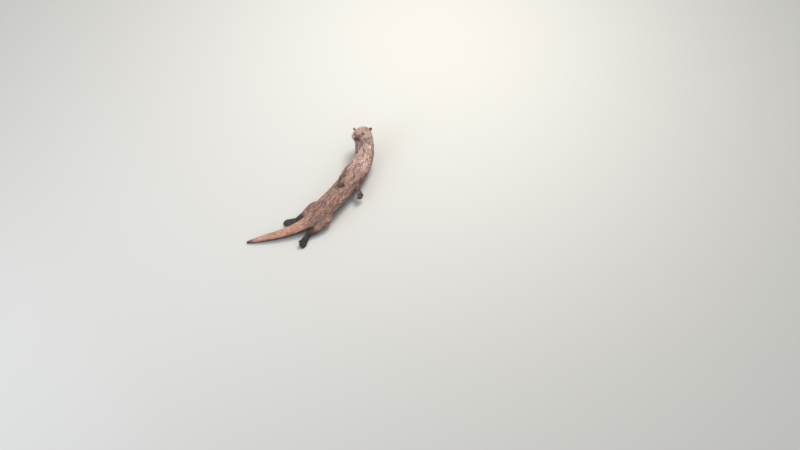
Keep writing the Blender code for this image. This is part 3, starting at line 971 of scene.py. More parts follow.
    def lip_gap(self, local: np.ndarray) -> np.ndarray:
        """How far each point lies above or below the mouth's line.

        Args:
            local: Points in the head's axes, in millimetres.

        Returns:
            The distances, and 99 away from the muzzle.
        """
        line = np.interp(local[:, 0], *self.mouth_mm)
        ahead = np.interp(local[:, 0] + 2, *self.mouth_mm)
        slope = ahead - np.interp(local[:, 0] - 2, *self.mouth_mm)
        gap = abs(local[:, 2] - line) / np.hypot(1, slope / 4)
        mouth = (local[:, 0] > 41) & (local[:, 0] < 96) & (abs(local[:, 1]) < 32)
        return np.where(mouth, gap, 99.0)

    @staticmethod
    def distance_to(path: np.ndarray, points: np.ndarray) -> tuple:
        """How far each point lies from a path.

        Args:
            path: The path's corners.
            points: Rows of points.

        Returns:
            The distances, and how far along the path its nearest place is.
        """
        best = np.full(len(points), 1e9)
        along = np.zeros(len(points))
        done = 0.0
        for a, b in zip(path, path[1:]):
            run = np.linalg.norm(b - a)
            share = np.clip(((points - a) @ (b - a)) / run**2, 0, 1)
            gap = lengths(points - a - share[:, None] * (b - a))
            nearer = gap < best
            along[nearer] = done + share[nearer] * run
            best[nearer] = gap[nearer]
            done += run
        return best, along

    def owners(self, flesh: list, points: np.ndarray) -> np.ndarray:
        """The region of the solid that each point lies nearest to.

        Args:
            flesh: The names of the solids.
            points: Rows of points.

        Returns:
            The regions' numbers.
        """
        corners, faces, regions = [], [], []
        for name in flesh:
            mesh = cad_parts[name].data
            mesh.calc_loop_triangles()
            start = len(corners)
            corners.extend(v.co.copy() for v in mesh.vertices)
            faces.extend([start + i for i in t.vertices] for t in mesh.loop_triangles)
            regions.extend([Region.of(name).value] * len(mesh.loop_triangles))
        tree = BVHTree.FromPolygons(corners, faces)
        table = np.array(regions)
        return table[[tree.find_nearest(p)[2] for p in points.tolist()]]

    def pass_into_paws(self, weights: np.ndarray, points: np.ndarray) -> np.ndarray:
        """Lets the trunk's coat pass gradually into each leg's and each leg's into its paw's.

        Args:
            weights: How far each point belongs to each region.
            points: Rows of points.

        Returns:
            The new weights.
        """
        weights = weights.copy()
        trunk = Region.TRUNK.value
        for form in self.paws:
            limb = form.limb
            leg, paw = limb.columns
            path = limb.path(self.spine)
            gap, along = self.distance_to(path, points)
            reach = lengths(np.diff(path[:-1], axis=0)).sum()
            near = gap < LEG_REACH
            slender = ramp(0.15, 0.70, along / reach)
            upper = weights[:, leg] * near * (1 - slender)
            weights[:, trunk] += upper
            weights[:, leg] -= upper
            places = form.local(points)
            ahead = places[:, 0] / limb.paw.length
            near &= lengths(places) < limb.paw.length * 1.5
            both = (weights[:, leg] + weights[:, paw]) * near
            share = ramp(-0.28, 0.30, ahead)
            weights[:, paw] += both * share - weights[:, paw] * near
            weights[:, leg] += both * (1 - share) - weights[:, leg] * near
            on_paw = near * ramp(0.0065, 0.0032, form.distance(places)) * ramp(0.05, 0.25, ahead)
            weights *= (1 - on_paw)[:, None]
            weights[:, paw] += on_paw
        return weights

    def inset(self, points: np.ndarray, edges: np.ndarray) -> np.ndarray:
        """Moves the skin in from the solids' surface by the coat's depth.

        Args:
            points: The skin's points.
            edges: Its edges.

        Returns:
            The moved points.
        """
        depth = self.weights @ np.array([GROWTH[r].depth for r in Region]) * MM
        local = self.head.local(points)
        to_nose = lengths((local - self.head.nose_mm) / (1.0, 1.3, 1.2))
        depth *= ramp(6, 60, to_nose) * 0.9 + 0.1
        at = self.spine.places[self.spine.nearest(points)]
        depth *= 0.45 + 0.55 * ramp(0.0, 0.10, at)
        depth += self.swell
        moved = points - normals_of(self.piece.data) * depth[:, None]
        return relax(moved, edges, 0.5 * (1 - ramp(70, 40, to_nose)), 3)

    def shape_paws(self, points: np.ndarray, edges: np.ndarray) -> np.ndarray:
        """Gives each paw its toes, knuckles, pads and webs.

        Args:
            points: The skin's points.
            edges: Its edges.

        Returns:
            The moved points.
        """
        for form in self.paws:
            reach = form.limb.paw.length
            places = form.local(points)
            near = form.about(places, 0.52, 0.75)
            index = np.flatnonzero(near & (places[:, 0] > 0.08 * reach))
            gap = form.distance(places[index])
            hold = np.zeros(len(points))
            hold[index] = ramp(0.0065, 0.0040, gap) * ramp(0.10, 0.34, places[index, 0] / reach)
            index = np.flatnonzero(hold > 0.01)
            for _ in range(4):
                points[index] = form.fit(points[index], hold[index], 3)
                points = relax(points, edges, 0.7 * hold, 1)
            points[index] = form.fit(points[index], hold[index], 3)
            wrist = bell(places[:, 0] / reach - 0.04, 0.17)
            wrist *= lengths(places) < 0.5 * reach
            points = relax(points, edges, 0.9 * wrist, 14)
        return points

    def sculpt(self, points: np.ndarray) -> np.ndarray:
        """Shapes the lids, the mouth and the ears' hollows.

        Args:
            points: The skin's points.

        Returns:
            The moved points.
        """
        local = self.head.local(points)
        index = np.flatnonzero(lengths(local - (30, 0, 0)) < 90)
        places = local[index]
        normals = normals_of(self.piece.data)[index] @ self.head.axes.T
        for side in SIDES:
            places = self.set_lids(places, side)
            places = self.cup_ear(places, side)
        places = self.part_lips(places, normals)
        local[index] = places
        return self.head.world(local)

    def eye_axes(self, side: int) -> np.ndarray:
        """Towards the nose, towards the crown and outwards, at one eye.

        Args:
            side: 1 for the left and -1 for the right.

        Returns:
            Three rows in the head's axes.
        """
        out = unit(np.array([0.60, side * 0.66, 0.45]))
        nose = unit(np.array([1.0, -side * 0.10, -0.22]))
        nose = unit(nose - out * (nose @ out))
        crown = np.cross(out, nose) * side
        return np.array([nose, crown if crown[2] > 0 else -crown, out])

    def lid_share(self, places: np.ndarray, side: int) -> tuple:
        """How far each point is across the almond between the lids, 1 at its rim.

        Args:
            places: Points in the head's axes, in millimetres.
            side: 1 for the left and -1 for the right.

        Returns:
            The share across, and each point's offset from the eye's middle.
        """
        offset = places - self.head.eye(side)
        turned = offset @ self.eye_axes(side).T
        long = turned[:, 0] / self.lid_width_mm
        high = self.lid_height_mm * np.where(turned[:, 1] > 0, 1.0, 0.86)
        narrow = np.clip(1.0 - 0.25 * long**2, 0.3, 1.0)
        share = np.sqrt(long**2 + (turned[:, 1] / (high * narrow)) ** 2)
        return np.where(turned[:, 2] > -1.0, share, 9.0), offset

    def lids(self, places: np.ndarray) -> np.ndarray:
        """The share across the nearer eye's almond, for points in the head's axes."""
        return np.minimum(*(self.lid_share(places, side)[0] for side in SIDES))

    def set_lids(self, places: np.ndarray, side: int) -> np.ndarray:
        """Opens the skin over one eye and lays the lids on the eyeball.

        Args:
            places: Points in the head's axes, in millimetres.
            side: 1 for the left and -1 for the right.

        Returns:
            The moved points.
        """
        share, offset = self.lid_share(places, side)
        distance = lengths(offset)
        radius = self.head.eye_radius_mm
        target = radius - 1.8 + 3.1 * ramp(0.80, 1.08, share)
        hold = ramp(2.1, 1.25, share)
        wanted = distance + (target - distance) * hold
        crease = 0.5 * bell(share - 1.75, 0.22) * (share < 8)
        return places + unit(offset) * (wanted - distance - crease)[:, None]

    def cup_ear(self, places: np.ndarray, side: int) -> np.ndarray:
        """Deepens the hollow at the front of one ear.

        Args:
            places: Points in the head's axes, in millimetres.
            side: 1 for the left and -1 for the right.

        Returns:
            The moved points.
        """
        offset = places - self.head.ear(side)
        turn = math.radians(self.ear_turn)
        face = unit(np.array([math.cos(turn), side * math.sin(turn), 0.1]))
        ahead = offset @ face
        flat = lengths(offset - ahead[:, None] * face)
        dip = 2.6 * bell(flat, 5.2) * ramp(-1.5, 1.0, ahead) * (flat < 14)
        return places - face * dip[:, None]

    def part_lips(self, places: np.ndarray, normals: np.ndarray) -> np.ndarray:
        """Presses in the mouth's line, rolls the lips beside it and rims the nose pad.

        Args:
            places: Points in the head's axes, in millimetres.
            normals: Their normals in the same axes.

        Returns:
            The moved points.
        """
        gap = self.lip_gap(places)
        fade = ramp(41, 50, places[:, 0])
        depth = -2.0 * bell(gap, 0.9) + 0.7 * bell(gap - 2.8, 1.5)
        depth *= fade
        front = ramp(76, 83, places[:, 0])
        seam = bell(places[:, 1], 0.8) * front * ramp(-3, -7, places[:, 2])
        depth -= 1.3 * seam * ramp(-20, -16, places[:, 2])
        places = places + normals * depth[:, None]
        offset = (places - self.head.nose_mm) / np.array(self.head.nose_radii_mm)
        low = ramp(0, -1, offset[:, 2])
        foot = np.hypot(offset[:, 1] / (1 - 0.22 * low), offset[:, 2] / (0.92 - 0.06 * low))
        ahead = ramp(77, 82, places[:, 0])
        roll = (3.2 - 1.2 * low) * bell(foot - 1.10, 0.20)
        places[:, 0] += roll * ahead * ramp(0.0, 0.6, normals[:, 0])
        behind = ramp(0.98, 0.86, foot) * ahead
        places[:, 0] += (np.minimum(places[:, 0], 84.0) - places[:, 0]) * behind
        return places

    def comb(self, points: np.ndarray, edges: np.ndarray, owner: np.ndarray) -> np.ndarray:
        """Lays the coat from the nose back, along the body and down the legs.

        Args:
            points: The skin's points.
            edges: Its edges.
            owner: The region's number at each point.

        Returns:
            Directions along the skin, of length 1.
        """
        normals = normals_of(self.piece.data)
        flow = -self.spine.headward[self.spine.nearest(points)]
        local = self.head.local(points)
        nose = self.head.world(np.array(self.head.nose_mm) + (-8, 0, 0))
        away = unit(points - nose)
        on_head = owner == Region.HEAD.value
        share = ramp(-30, 10, local[:, 0])[:, None]
        flow = np.where(on_head[:, None], away * (0.35 + 0.65 * share) + flow * (1 - share), flow)
        on_ear = owner == Region.EAR.value
        flow = np.where(on_ear[:, None], unit(points - self.head.origin), flow)
        for limb in LIMBS:
            path = limb.path(self.spine)
            gap, along = self.distance_to(path, points)
            runs = np.concatenate([[0], np.cumsum(lengths(np.diff(path, axis=0)))])
            leg = np.clip(np.searchsorted(runs, along) - 1, 0, len(path) - 2)
            down = unit(np.diff(path, axis=0))[leg]
            mine = np.isin(owner, limb.columns) & (gap < 0.06)
            flow = np.where(mine[:, None], down, flow)
        for _ in range(self.comb_rounds):
            flow = 0.35 * flow + 0.65 * neighbours_mean(flow, edges)
            flow = unit(flow - normals * dots(flow, normals)[:, None])
        x, y, z = (points * 38).T
        sway = 0.16 * np.sin(x + 1.7 * z) * np.cos(y * 0.8 + 1) + 0.10 * np.sin(2.3 * y - x + 2)
        sway = sway * (1 - 0.7 * self.weights[:, Region.HEAD.value])
        turned = flow * np.cos(sway)[:, None] + np.cross(normals, flow) * np.sin(sway)[:, None]
        return unit(turned)

    def unwrap(self) -> None:
        """Gives the skin a flat map, which the tufts share."""
        mesh = self.piece.data
        mesh.uv_layers.new(name="OFBake")
        bpy.context.view_layer.objects.active = self.piece
        self.piece.select_set(True)
        bpy.ops.object.mode_set(mode="EDIT")
        bpy.ops.mesh.select_all(action="SELECT")
        bpy.ops.uv.smart_project(angle_limit=1.15, island_margin=0.003)
        bpy.ops.object.mode_set(mode="OBJECT")
        self.piece.select_set(False)


@dataclass
class Markings:
    """Where each colour of the coat lies, and where its painted shade and painted glints lie, as
    fields from 0 to 1.
    """

    skin: Skin

    def fields(self, points: np.ndarray, weights: np.ndarray) -> dict:
        """Works out the fields.

        Args:
            points: Rows of points.
            weights: How far each point belongs to each region.

        Returns:
            Values for each point, by the field's name.
        """
        i = self.skin.spine.nearest(points)
        at = self.skin.spine.places[i]
        offset = points - self.skin.spine.points[i]
        aside = dots(offset, self.skin.spine.left[i])
        over = dots(offset, self.skin.spine.bellyward[i])
        beyond = dots(offset, self.skin.spine.headward[i]) / np.maximum(lengths(offset), 1e-6)
        facing = over / np.maximum(np.hypot(aside, over), 1e-6) - 2.0 * ramp(0.15, 0.7, beyond)
        local = self.skin.head.local(points)
        on_head = weights[:, Region.HEAD.value] + weights[:, Region.EAR.value]
        waver = 0.10 * np.sin(points[:, 0] * 61 + points[:, 1] * 47) * np.sin(points[:, 1] * 83)
        tail = ramp(0.42, 0.34, at)
        low = -0.45 + 0.62 * tail
        belly = ramp(0.0, 1.0, (facing + waver - low) / (0.62 - 0.20 * tail))
        crown = ramp(-34, 6, local[:, 0] + 0.25 * local[:, 2])
        face_belly = np.maximum(crown, ramp(6, -14, local[:, 2]) * ramp(-46, -18, local[:, 0]))
        belly = belly * (1 - on_head) + face_belly * on_head
        throat = ramp(0.74, 0.90, at) * ramp(0.1, 0.75, facing + waver)
        top = ramp(6, 26, local[:, 2])
        pale = 0.82 * throat * (1 - on_head) + on_head * face_belly * (0.90 - 0.40 * top)
        muzzle_gap = lengths((local - (80, 0, 0)) / (34, 30, 24))
        # round each eye the muzzle's brown and the dark colour lie as darker wet fur and as painted
        # shade under the brow
        around_eyes = np.zeros(len(points))
        socket = np.zeros(len(points))
        for side in SIDES:
            from_eye = lengths(local - self.skin.head.eye(side))
            around_eyes += bell(from_eye, 11)
            socket += bell(from_eye, 8.5)
        muzzle = np.clip(ramp(1.15, 0.55, muzzle_gap) + 0.9 * around_eyes, 0, 1) * on_head
        dark = weights[:, Region.HIND_PAW.value] + 0.6 * weights[:, Region.EAR.value]
        for form in self.skin.paws:
            limb = form.limb
            leg, paw = limb.columns
            path = limb.path(self.skin.spine)[:-1]
            gap, along = Skin.distance_to(path, points)
            runs = lengths(np.diff(path, axis=0)).sum()
            region = weights[:, leg] * (gap < LEG_REACH)
            if limb.name == "hind":
                dark += region * 0.7 * ramp(0.60, 1.0, along / runs)
                continue
            places = form.local(points)
            mine = lengths(places) < 1.5 * limb.paw.length
            toeward = ramp(0.20, 0.85, places[:, 0] / limb.paw.length)
            dark += weights[:, paw] * mine * (0.22 + 0.52 * toeward)
            dark += region * 0.30 * ramp(0.35, 0.95, along / runs)
        tip = ramp(0.070, 0.012, at) * tail
        # the eye sockets: darker wet fur and painted shade under the brows
        dark = np.clip(dark + tip + 0.78 * socket * on_head, 0, 1)
        root = 0.45 + 0.50 * ramp(0.38, 0.26, at)
        warm = tail * root * ramp(0.12, 0.88, facing + waver * 0.4)
        rim = np.maximum(bell(self.skin.lip_gap(local), 0.9), ramp(1.45, 1.12, self.skin.lids(local)))
        rim *= on_head
        # painted shade in the clefts between the toes
        for form in self.skin.paws:
            places = form.local(points)
            rim = np.maximum(rim, form.cleft(places) * ramp(0.008, 0.005, form.distance(places)))
        strand_tone_glint_shade = self.strands_glints_and_shade(at, aside, over, local, on_head)
        return dict(
            belly=belly, warm=warm, pale=pale, muzzle=muzzle, dark=dark, rim=rim, strand_tone_glint_shade=strand_tone_glint_shade
        )

    @staticmethod
    def strands_glints_and_shade(
        at: np.ndarray, aside: np.ndarray, over: np.ndarray, local: np.ndarray, on_head: np.ndarray
    ) -> np.ndarray:
        """Light strands between dark partings of wet fur, 14 mm apart on the trunk: tone that differs
        at random, painted shade in the partings and painted glints on strands of the chest and throat.

        Args:
            at: The nearest place on the spine, from the tail's tip.
            aside: How far left of it.
            over: How far to the belly's side of it.
            local: The points in the head's axes.
            on_head: How far each point belongs to the head.

        Returns:
            Numbers from 0 to 1.
        """
        around = np.arctan2(aside, over)
        width = np.clip(np.hypot(aside, over), 0.015, 0.060)
        meander = 0.5 * np.sin(at * 33) + 0.4 * np.sin(at * 71 + 2)
        long, wide = at / 0.050, around * width / 0.014 + meander
        coarse, fine = mottled(long, wide, 3), mottled(long * 2.3, wide * 2.3, 4)
        # painted shade: dark partings between the wet locks
        parting_shade = bell(coarse - 0.5, 0.07) * ramp(0.15, 0.5, fine)
        # painted highlights: bright wet glints on strands of the chest and throat
        glint_fleck = ramp(0.70, 0.92, mottled(long * 3.1, wide * 2.6, 6)) * ramp(0.72, 0.86, at)
        body = 0.30 + 0.46 * fine + 0.22 * coarse - 0.66 * parting_shade + 0.66 * glint_fleck
        # more contrast from the chest forwards, so brighter painted glints and darker painted shade
        # there
        body += 0.45 * (body - 0.58) * ramp(0.64, 0.80, at)
        body = body + (0.64 + 0.34 * (fine - 0.5) - body) * ramp(0.40, 0.33, at)
        turn = np.arctan2(local[:, 1], local[:, 2] + 1e-6)
        back = lengths(local - (88, 0, 0))
        face = 0.5 * mottled(back / 9, turn * 9, 5) + 0.33
        return np.clip(body * (1 - on_head) + face * on_head, 0, 1)


# -------- coat


@dataclass
class Coat:
    """The wet coat: thin closed tufts that lie along the body and run together in locks."""

    skin: Skin
    pieces: int = 8
    patch: float = 0.003  # of the flat map, for each tuft
    rings: tuple = (0.0, 0.34, 0.68)  # their places, as shares of the length
    widths: tuple = (0.80, 1.0, 0.66)  # at the rings, as shares of the tuft's width
    pull: tuple = (0.0, 0.18, 0.62, 0.96)  # to the lock's middle, at each ring and the tip
    short_mm: float = 6.2  # tufts below this length need one ring less
    sunk_mm: float = 0.25  # how deep the roots sit in the skin
    axis_gap_mm: float = 0.35  # between the floor and a tuft's axis, at least
    crown: float = 0.75  # a tuft's height, as a share of half its width
    corners: np.ndarray = field(init=False)
    loops: np.ndarray = field(init=False)
    points: np.ndarray = field(init=False)
    normals: np.ndarray = field(init=False)
    uvs: np.ndarray = field(init=False)
    growth: np.ndarray = field(init=False)
    tree: BVHTree = field(init=False)

    def build(self) -> list:
        """Grows the coat.

        Returns:
            The coat's objects.
        """
        rng = np.random.default_rng(SEED)
        mesh = self.skin.piece.data
        mesh.calc_loop_triangles()
        self.corners = rows_of(mesh.loop_triangles, "vertices", 3, np.int32)
        self.loops = rows_of(mesh.loop_triangles, "loops", 3, np.int32)
        self.points, self.normals = points_of(mesh), normals_of(mesh)
        self.uvs = rows_of(mesh.uv_layers["OFBake"].data, "uv", 2, np.float32)
        table = np.array([astuple(GROWTH[region]) for region in Region])
        self.growth = self.tempered(self.skin.weights @ table)
        self.tree = BVHTree.FromPolygons(self.points.tolist(), self.corners.tolist())
        grows = self.grows()
        roots = self.scatter(rng, grows, 1.0)
        locks = self.scatter(rng, grows, self.growth[:, SPACING] / self.growth[:, LOCK])
        roots = self.trace(rng, roots, 0.24)
        locks = self.trace(rng, locks, 0.22)
        self.run_together(rng, roots, locks)
        return self.shape(rng, roots)

    def tempered(self, growth: np.ndarray) -> np.ndarray:
        """Shortens the coat towards the nose, the lids, the paws and the tail's tip.

        Args:
            growth: How the regions' coats grow at each point.

        Returns:
            The table with the changes.
        """
        local = self.skin.head.local(self.points)
        to_nose = lengths(local - self.skin.head.nose_mm)
        on_head = self.skin.weights[:, Region.HEAD.value]
        scale = 1 - on_head * 0.58 * ramp(85, 12, to_nose)
        scale *= 1 - on_head * 0.55 * ramp(3.4, 1.0, self.skin.lids(local))
        for form in self.skin.paws:
            beside = ramp(0.014, 0.005, form.distance(form.local(self.points)))
            scale *= 1 - 0.6 * beside * self.skin.weights[:, Region.TRUNK.value]
        growth = growth.copy()
        growth[:, LENGTH] *= scale
        growth[:, WIDTH] *= 0.55 + 0.45 * scale
        growth[:, DEPTH] *= scale
        growth[:, SPACING] *= 0.60 + 0.40 * scale
        growth[:, LOCK] *= 0.5 + 0.5 * scale
        at = self.skin.spine.places[self.skin.spine.nearest(self.points)]
        slim = 0.5 + 0.5 * ramp(0.0, 0.12, at)
        growth[:, LENGTH] *= slim
        growth[:, DEPTH] *= slim
        return growth

    def grows(self) -> np.ndarray:
        """Finds where the coat grows.

        Returns:
            For each point of the skin, 1 where the coat grows and 0 where the skin is bare.
        """
        local = self.skin.head.local(self.points)
        grows = (self.skin.lids(local) > 1.12).astype(float)
        nose = (local - self.skin.head.nose_mm) / (np.array(self.skin.head.nose_radii_mm) + 0.6)
        grows *= lengths(nose) > 1.0
        grows *= (self.skin.lip_gap(local) > 0.6) | (local[:, 0] < 46)
        kinds = [Region.FORE_PAW.value, Region.HIND_PAW.value]
        on_paw = self.skin.weights[:, kinds].sum(axis=1) > 0.45
        for form in self.skin.paws:
            reach = form.limb.paw.length
            places = form.local(self.points)
            under = self.normals @ form.turn[:3, 2]
            mine = on_paw & form.about(places, 0.52, 0.75)
            sole = (under < -0.25) & (places[:, 0] > reach * 0.14)
            grows *= ~(mine & (sole | (places[:, 0] > reach * 0.95)))
        return grows

    def scatter(self, rng: np.random.Generator, grows: np.ndarray, share: np.ndarray) -> dict:
        """Spreads roots evenly over the skin.

        Args:
            rng: The source of chance.
            grows: Where roots may be, per point of the skin.
            share: The spacing of the tufts as a share of that wanted here.

        Returns:
            What the skin has at each root, by name.
        """
        a, b, c = (self.points[self.corners[:, i]] for i in range(3))
        area = lengths(np.cross(b - a, c - a)) / 2 / MM**2
        density = grows / (self.growth[:, SPACING] / share) ** 2
        whole = np.cumsum(area * density[self.corners].mean(axis=1))
        places = np.arange(int(whole[-1])) + rng.uniform(0.05, 0.95, int(whole[-1]))
        triangle = np.searchsorted(whole, places)
        u, v = rng.random((2, len(triangle)))
        over = u + v > 1
        u, v = np.where(over, 1 - u, u), np.where(over, 1 - v, v)
        mix = np.stack([1 - u - v, u, v], axis=1)

        def read(values: np.ndarray) -> np.ndarray:
            """Mixes the values at the corners."""
            return (values[self.corners[triangle]] * mix[:, :, None]).sum(axis=1)

        return {
            "place": read(self.points),
            "normal": unit(read(self.normals)),
            "flow": unit(read(self.skin.flow)),
            "growth": read(self.growth),
            "marks": read(np.stack(list(self.skin.marks.values()), axis=1)),
            "uv": (self.uvs[self.loops[triangle]] * mix[:, :, None]).sum(axis=1),
        }

    def trace(self, rng: np.random.Generator, roots: dict, spread: float) -> dict:
        """Lays each tuft over the skin along the lie of the coat.

        Args:
            rng: The source of chance.
            roots: The tufts' roots.
            spread: How far lengths and directions differ from one to the next.

        Returns:
            The roots with the path of each tuft.
        """
        count = len(roots["place"])
        length = roots["growth"][:, LENGTH] * MM * rng.uniform(1 - 1.6 * spread, 1 + spread, count)
        angle = rng.normal(0, 0.8 * spread, count)
        flow, normal = roots["flow"], roots["normal"]
        aim = flow * np.cos(angle)[:, None] + np.cross(normal, flow) * np.sin(angle)[:, None]
        face_flow = unit(self.skin.flow[self.corners].mean(axis=1))
        face_normal = unit(self.normals[self.corners].mean(axis=1))
        here = roots["place"]
        path, normals = [here], [normal]
        for share in np.diff((*self.rings, 1.0)):
            ahead = here + aim * (length * share)[:, None]
            hits = [self.tree.find_nearest(p) for p in ahead.tolist()]
            here = np.array([h[0] for h in hits])
            face = np.array([h[2] for h in hits])
            aim = unit(0.45 * aim + 0.55 * face_flow[face])
            normal = unit(normal + 2 * face_normal[face])
            aim = unit(aim - normal * dots(aim, normal)[:, None])
            path.append(here)
            normals.append(normal)
        roots["path"] = np.stack(path, axis=1)
        roots["normals"] = np.stack(normals, axis=1)
        roots["length"] = length
        return roots

    def run_together(self, rng: np.random.Generator, roots: dict, locks: dict) -> None:
        """Draws the tufts of each wet lock to its own middle line and tip.

        Args:
            rng: The source of chance.
            roots: The traced tufts, which are changed.
            locks: One traced tuft for each lock.
        """
        tree = KDTree(len(locks["place"]))
        for i, place in enumerate(locks["place"].tolist()):
            tree.insert(place, i)
        tree.balance()
        mine = np.array([tree.find(p)[1] for p in roots["place"].tolist()])
        size = roots["growth"][:, LOCK] * MM
        offset = roots["place"] - locks["place"][mine]
        same = dots(roots["normal"], locks["normal"][mine]) > 0.35
        bound = same & (lengths(offset) < size * 1.4)
        wetness = rng.uniform(0.45, 1.25, len(locks["place"]))[mine]
        cling = roots["growth"][:, CLING] * bound * wetness * rng.uniform(0.55, 1.2, len(mine))
        shift = locks["path"][mine] - roots["path"]
        share = np.clip(cling, 0, 1)[:, None, None] * np.array(self.pull)[None, :, None]
        roots["path"] = roots["path"] + shift * share
        across = unit(np.cross(locks["normal"][mine], locks["flow"][mine]))
        side = dots(offset, across) / size
        # each tuft's place from its lock's ridge, 0, to its edge, 1, where the fur paints shade
        roots["gap"] = np.where(bound, np.clip(abs(side) * 2, 0, 1), 0.5)
        roots["lock"] = rng.random(len(locks["place"]))[mine]
        ridge = np.where(bound, bell(side, 0.30), 0.4)
        lift = 0.45 + 0.55 * ridge * np.clip(wetness, 0.5, 1)
        lift *= 0.72 + 0.55 * roots["marks"][:, list(self.skin.marks).index("strand_tone_glint_shade")]
        roots["lift"] = lift * rng.uniform(0.60, 1.0, len(mine))

    def shape(self, rng: np.random.Generator, roots: dict) -> list:
        """Makes the tufts' meshes, each tuft closed.

        Args:
            rng: The source of chance.
            roots: The traced tufts.

        Returns:
            The coat's objects, which share out the tufts.
        """
        count = len(roots["place"])
        s = np.array((*self.rings, 1.0))
        depth = roots["growth"][:, DEPTH] * MM
        height = (1 - (1 - s) ** 2)[None, :] * (depth * roots["lift"])[:, None]
        height[:, 0] = -self.sunk_mm * MM
        path = roots["path"] + roots["normals"] * height[:, :, None]
        path[:, :, 2] = np.maximum(path[:, :, 2], self.axis_gap_mm * MM)
        along = unit(np.gradient(path, axis=1))
        across = unit(np.cross(roots["normals"], along))
        roll = rng.normal(0, 0.30, count)[:, None, None]
        over = np.cross(along, across)
        out = over * np.cos(roll) - across * np.sin(roll)
        across = across * np.cos(roll) + over * np.sin(roll)
        width = roots["growth"][:, WIDTH] * MM * rng.uniform(0.75, 1.25, count)
        half = width[:, None] / 2 * np.array(self.widths)[None, :]
        rings = []
        for k in range(3):
            centre, w = path[:, k], half[:, k, None]
            rings.append(centre - across[:, k] * w)
            rings.append(centre + across[:, k] * w)
            rings.append(centre + out[:, k] * w * self.crown)
        points = np.stack([*rings, path[:, 3]], axis=1)
        points[:, :, 2] = np.maximum(points[:, :, 2], FLOOR_GAP_MM * MM)
        reach = np.repeat(s, (3, 3, 3, 1))
        aside = np.array([0, 1, 0.5] * 3 + [0.5])
        tone = rng.random(count)
        short = roots["length"] < self.short_mm * MM
        made = []
        for number in range(self.pieces):
            mine = np.arange(number, count, self.pieces)
            whose, which, faces = self.numbered(mine[~short[mine]], mine[short[mine]])
            piece = mesh_object(f"coat_{number + 1}", points[whose, which], faces)
            for column, name in enumerate(self.skin.marks):
                set_field(piece.data, name, roots["marks"][whose, column])
            # each point's share from a tuft's root to its tip, by which the fur paints shade at the
            # roots
            set_field(piece.data, "reach", reach[which])
            for name, values in (("tone", tone), ("lock", roots["lock"]), ("gap", roots["gap"])):
                set_field(piece.data, name, values[whose])
            spread = np.stack([aside[which], reach[which]], axis=1)
            uv = roots["uv"][whose] + (spread - 0.5) * self.patch
            layer = piece.data.uv_layers.new(name="OFBake")
            layer.data.foreach_set("uv", uv[faces[faces >= 0]].astype(np.float32).ravel())
            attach(piece, "root")
            made.append(piece)
        LOG.info("coat: %d long tufts and %d short ones", (~short).sum(), short.sum())
        return made

    @staticmethod
    def numbered(long: np.ndarray, short: np.ndarray) -> tuple:
        """Numbers the points and faces of long and short tufts.

        Args:
            long: The numbers of tufts with three rings under the tip.
            short: The numbers of tufts with two.

        Returns:
            Each point's tuft, its number within the tuft, and rows of faces.
        """
        whose, which, tables = [], [], []
        start = 0
        for mine, kept in ((long, np.arange(10)), (short, np.array([0, 1, 2, 3, 4, 5, 9]))):
            tip = len(kept) - 1
            sides = ((0, 1), (1, 2), (2, 0))
            faces = [(0, 2, 1, -1)]
            for k in range(0, tip - 3, 3):
                faces += [(k + i, k + j, k + 3 + j, k + 3 + i) for i, j in sides]
            faces += [(tip - 3 + i, tip - 3 + j, tip, -1) for i, j in sides]
            faces = np.array(faces)[None]
            table = faces + start + len(kept) * np.arange(len(mine))[:, None, None]
            tables.append(np.where(faces < 0, -1, table).reshape(-1, 4))
            whose.append(np.repeat(mine, len(kept)))
            which.append(np.tile(kept, len(mine)))
            start += len(kept) * len(mine)
        return np.concatenate(whose), np.concatenate(which), np.concatenate(tables)


# -------- eyes, nose, claws, whiskers


@dataclass
class Eyes:
    """Two dark eyes, each an eyeball with a raised cornea."""

    skin: Skin
    rows: int = 40
    columns: int = 56
    cornea_mm: float = 0.45  # how far it stands out
    cornea_edge: tuple = (52, 20)  # where it starts and is full, in degrees from the gaze

    def build(self) -> list:
        """Makes both eyes.

        Returns:
            The eyes' objects.
        """
        head = self.skin.head
        made = []
        for side, word in SIDES.items():
            axes = self.skin.eye_axes(side)
            ball, faces = globe(self.rows, self.columns)
            angle = np.degrees(np.arccos(np.clip(ball[:, 2], -1, 1)))
            radius = head.eye_radius_mm + self.cornea_mm * ramp(*self.cornea_edge, angle)
            points = head.world(ball * radius[:, None] @ axes + head.eye(side))
            if np.linalg.det(axes) < 0:
                faces = faces[:, ::-1]
            piece = mesh_object(f"eyeball_{word}", points, faces)
            set_field(piece.data, "gaze", angle)
            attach(piece, "root")
            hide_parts(f"eye_{word}")
            made.append(piece)
        return made


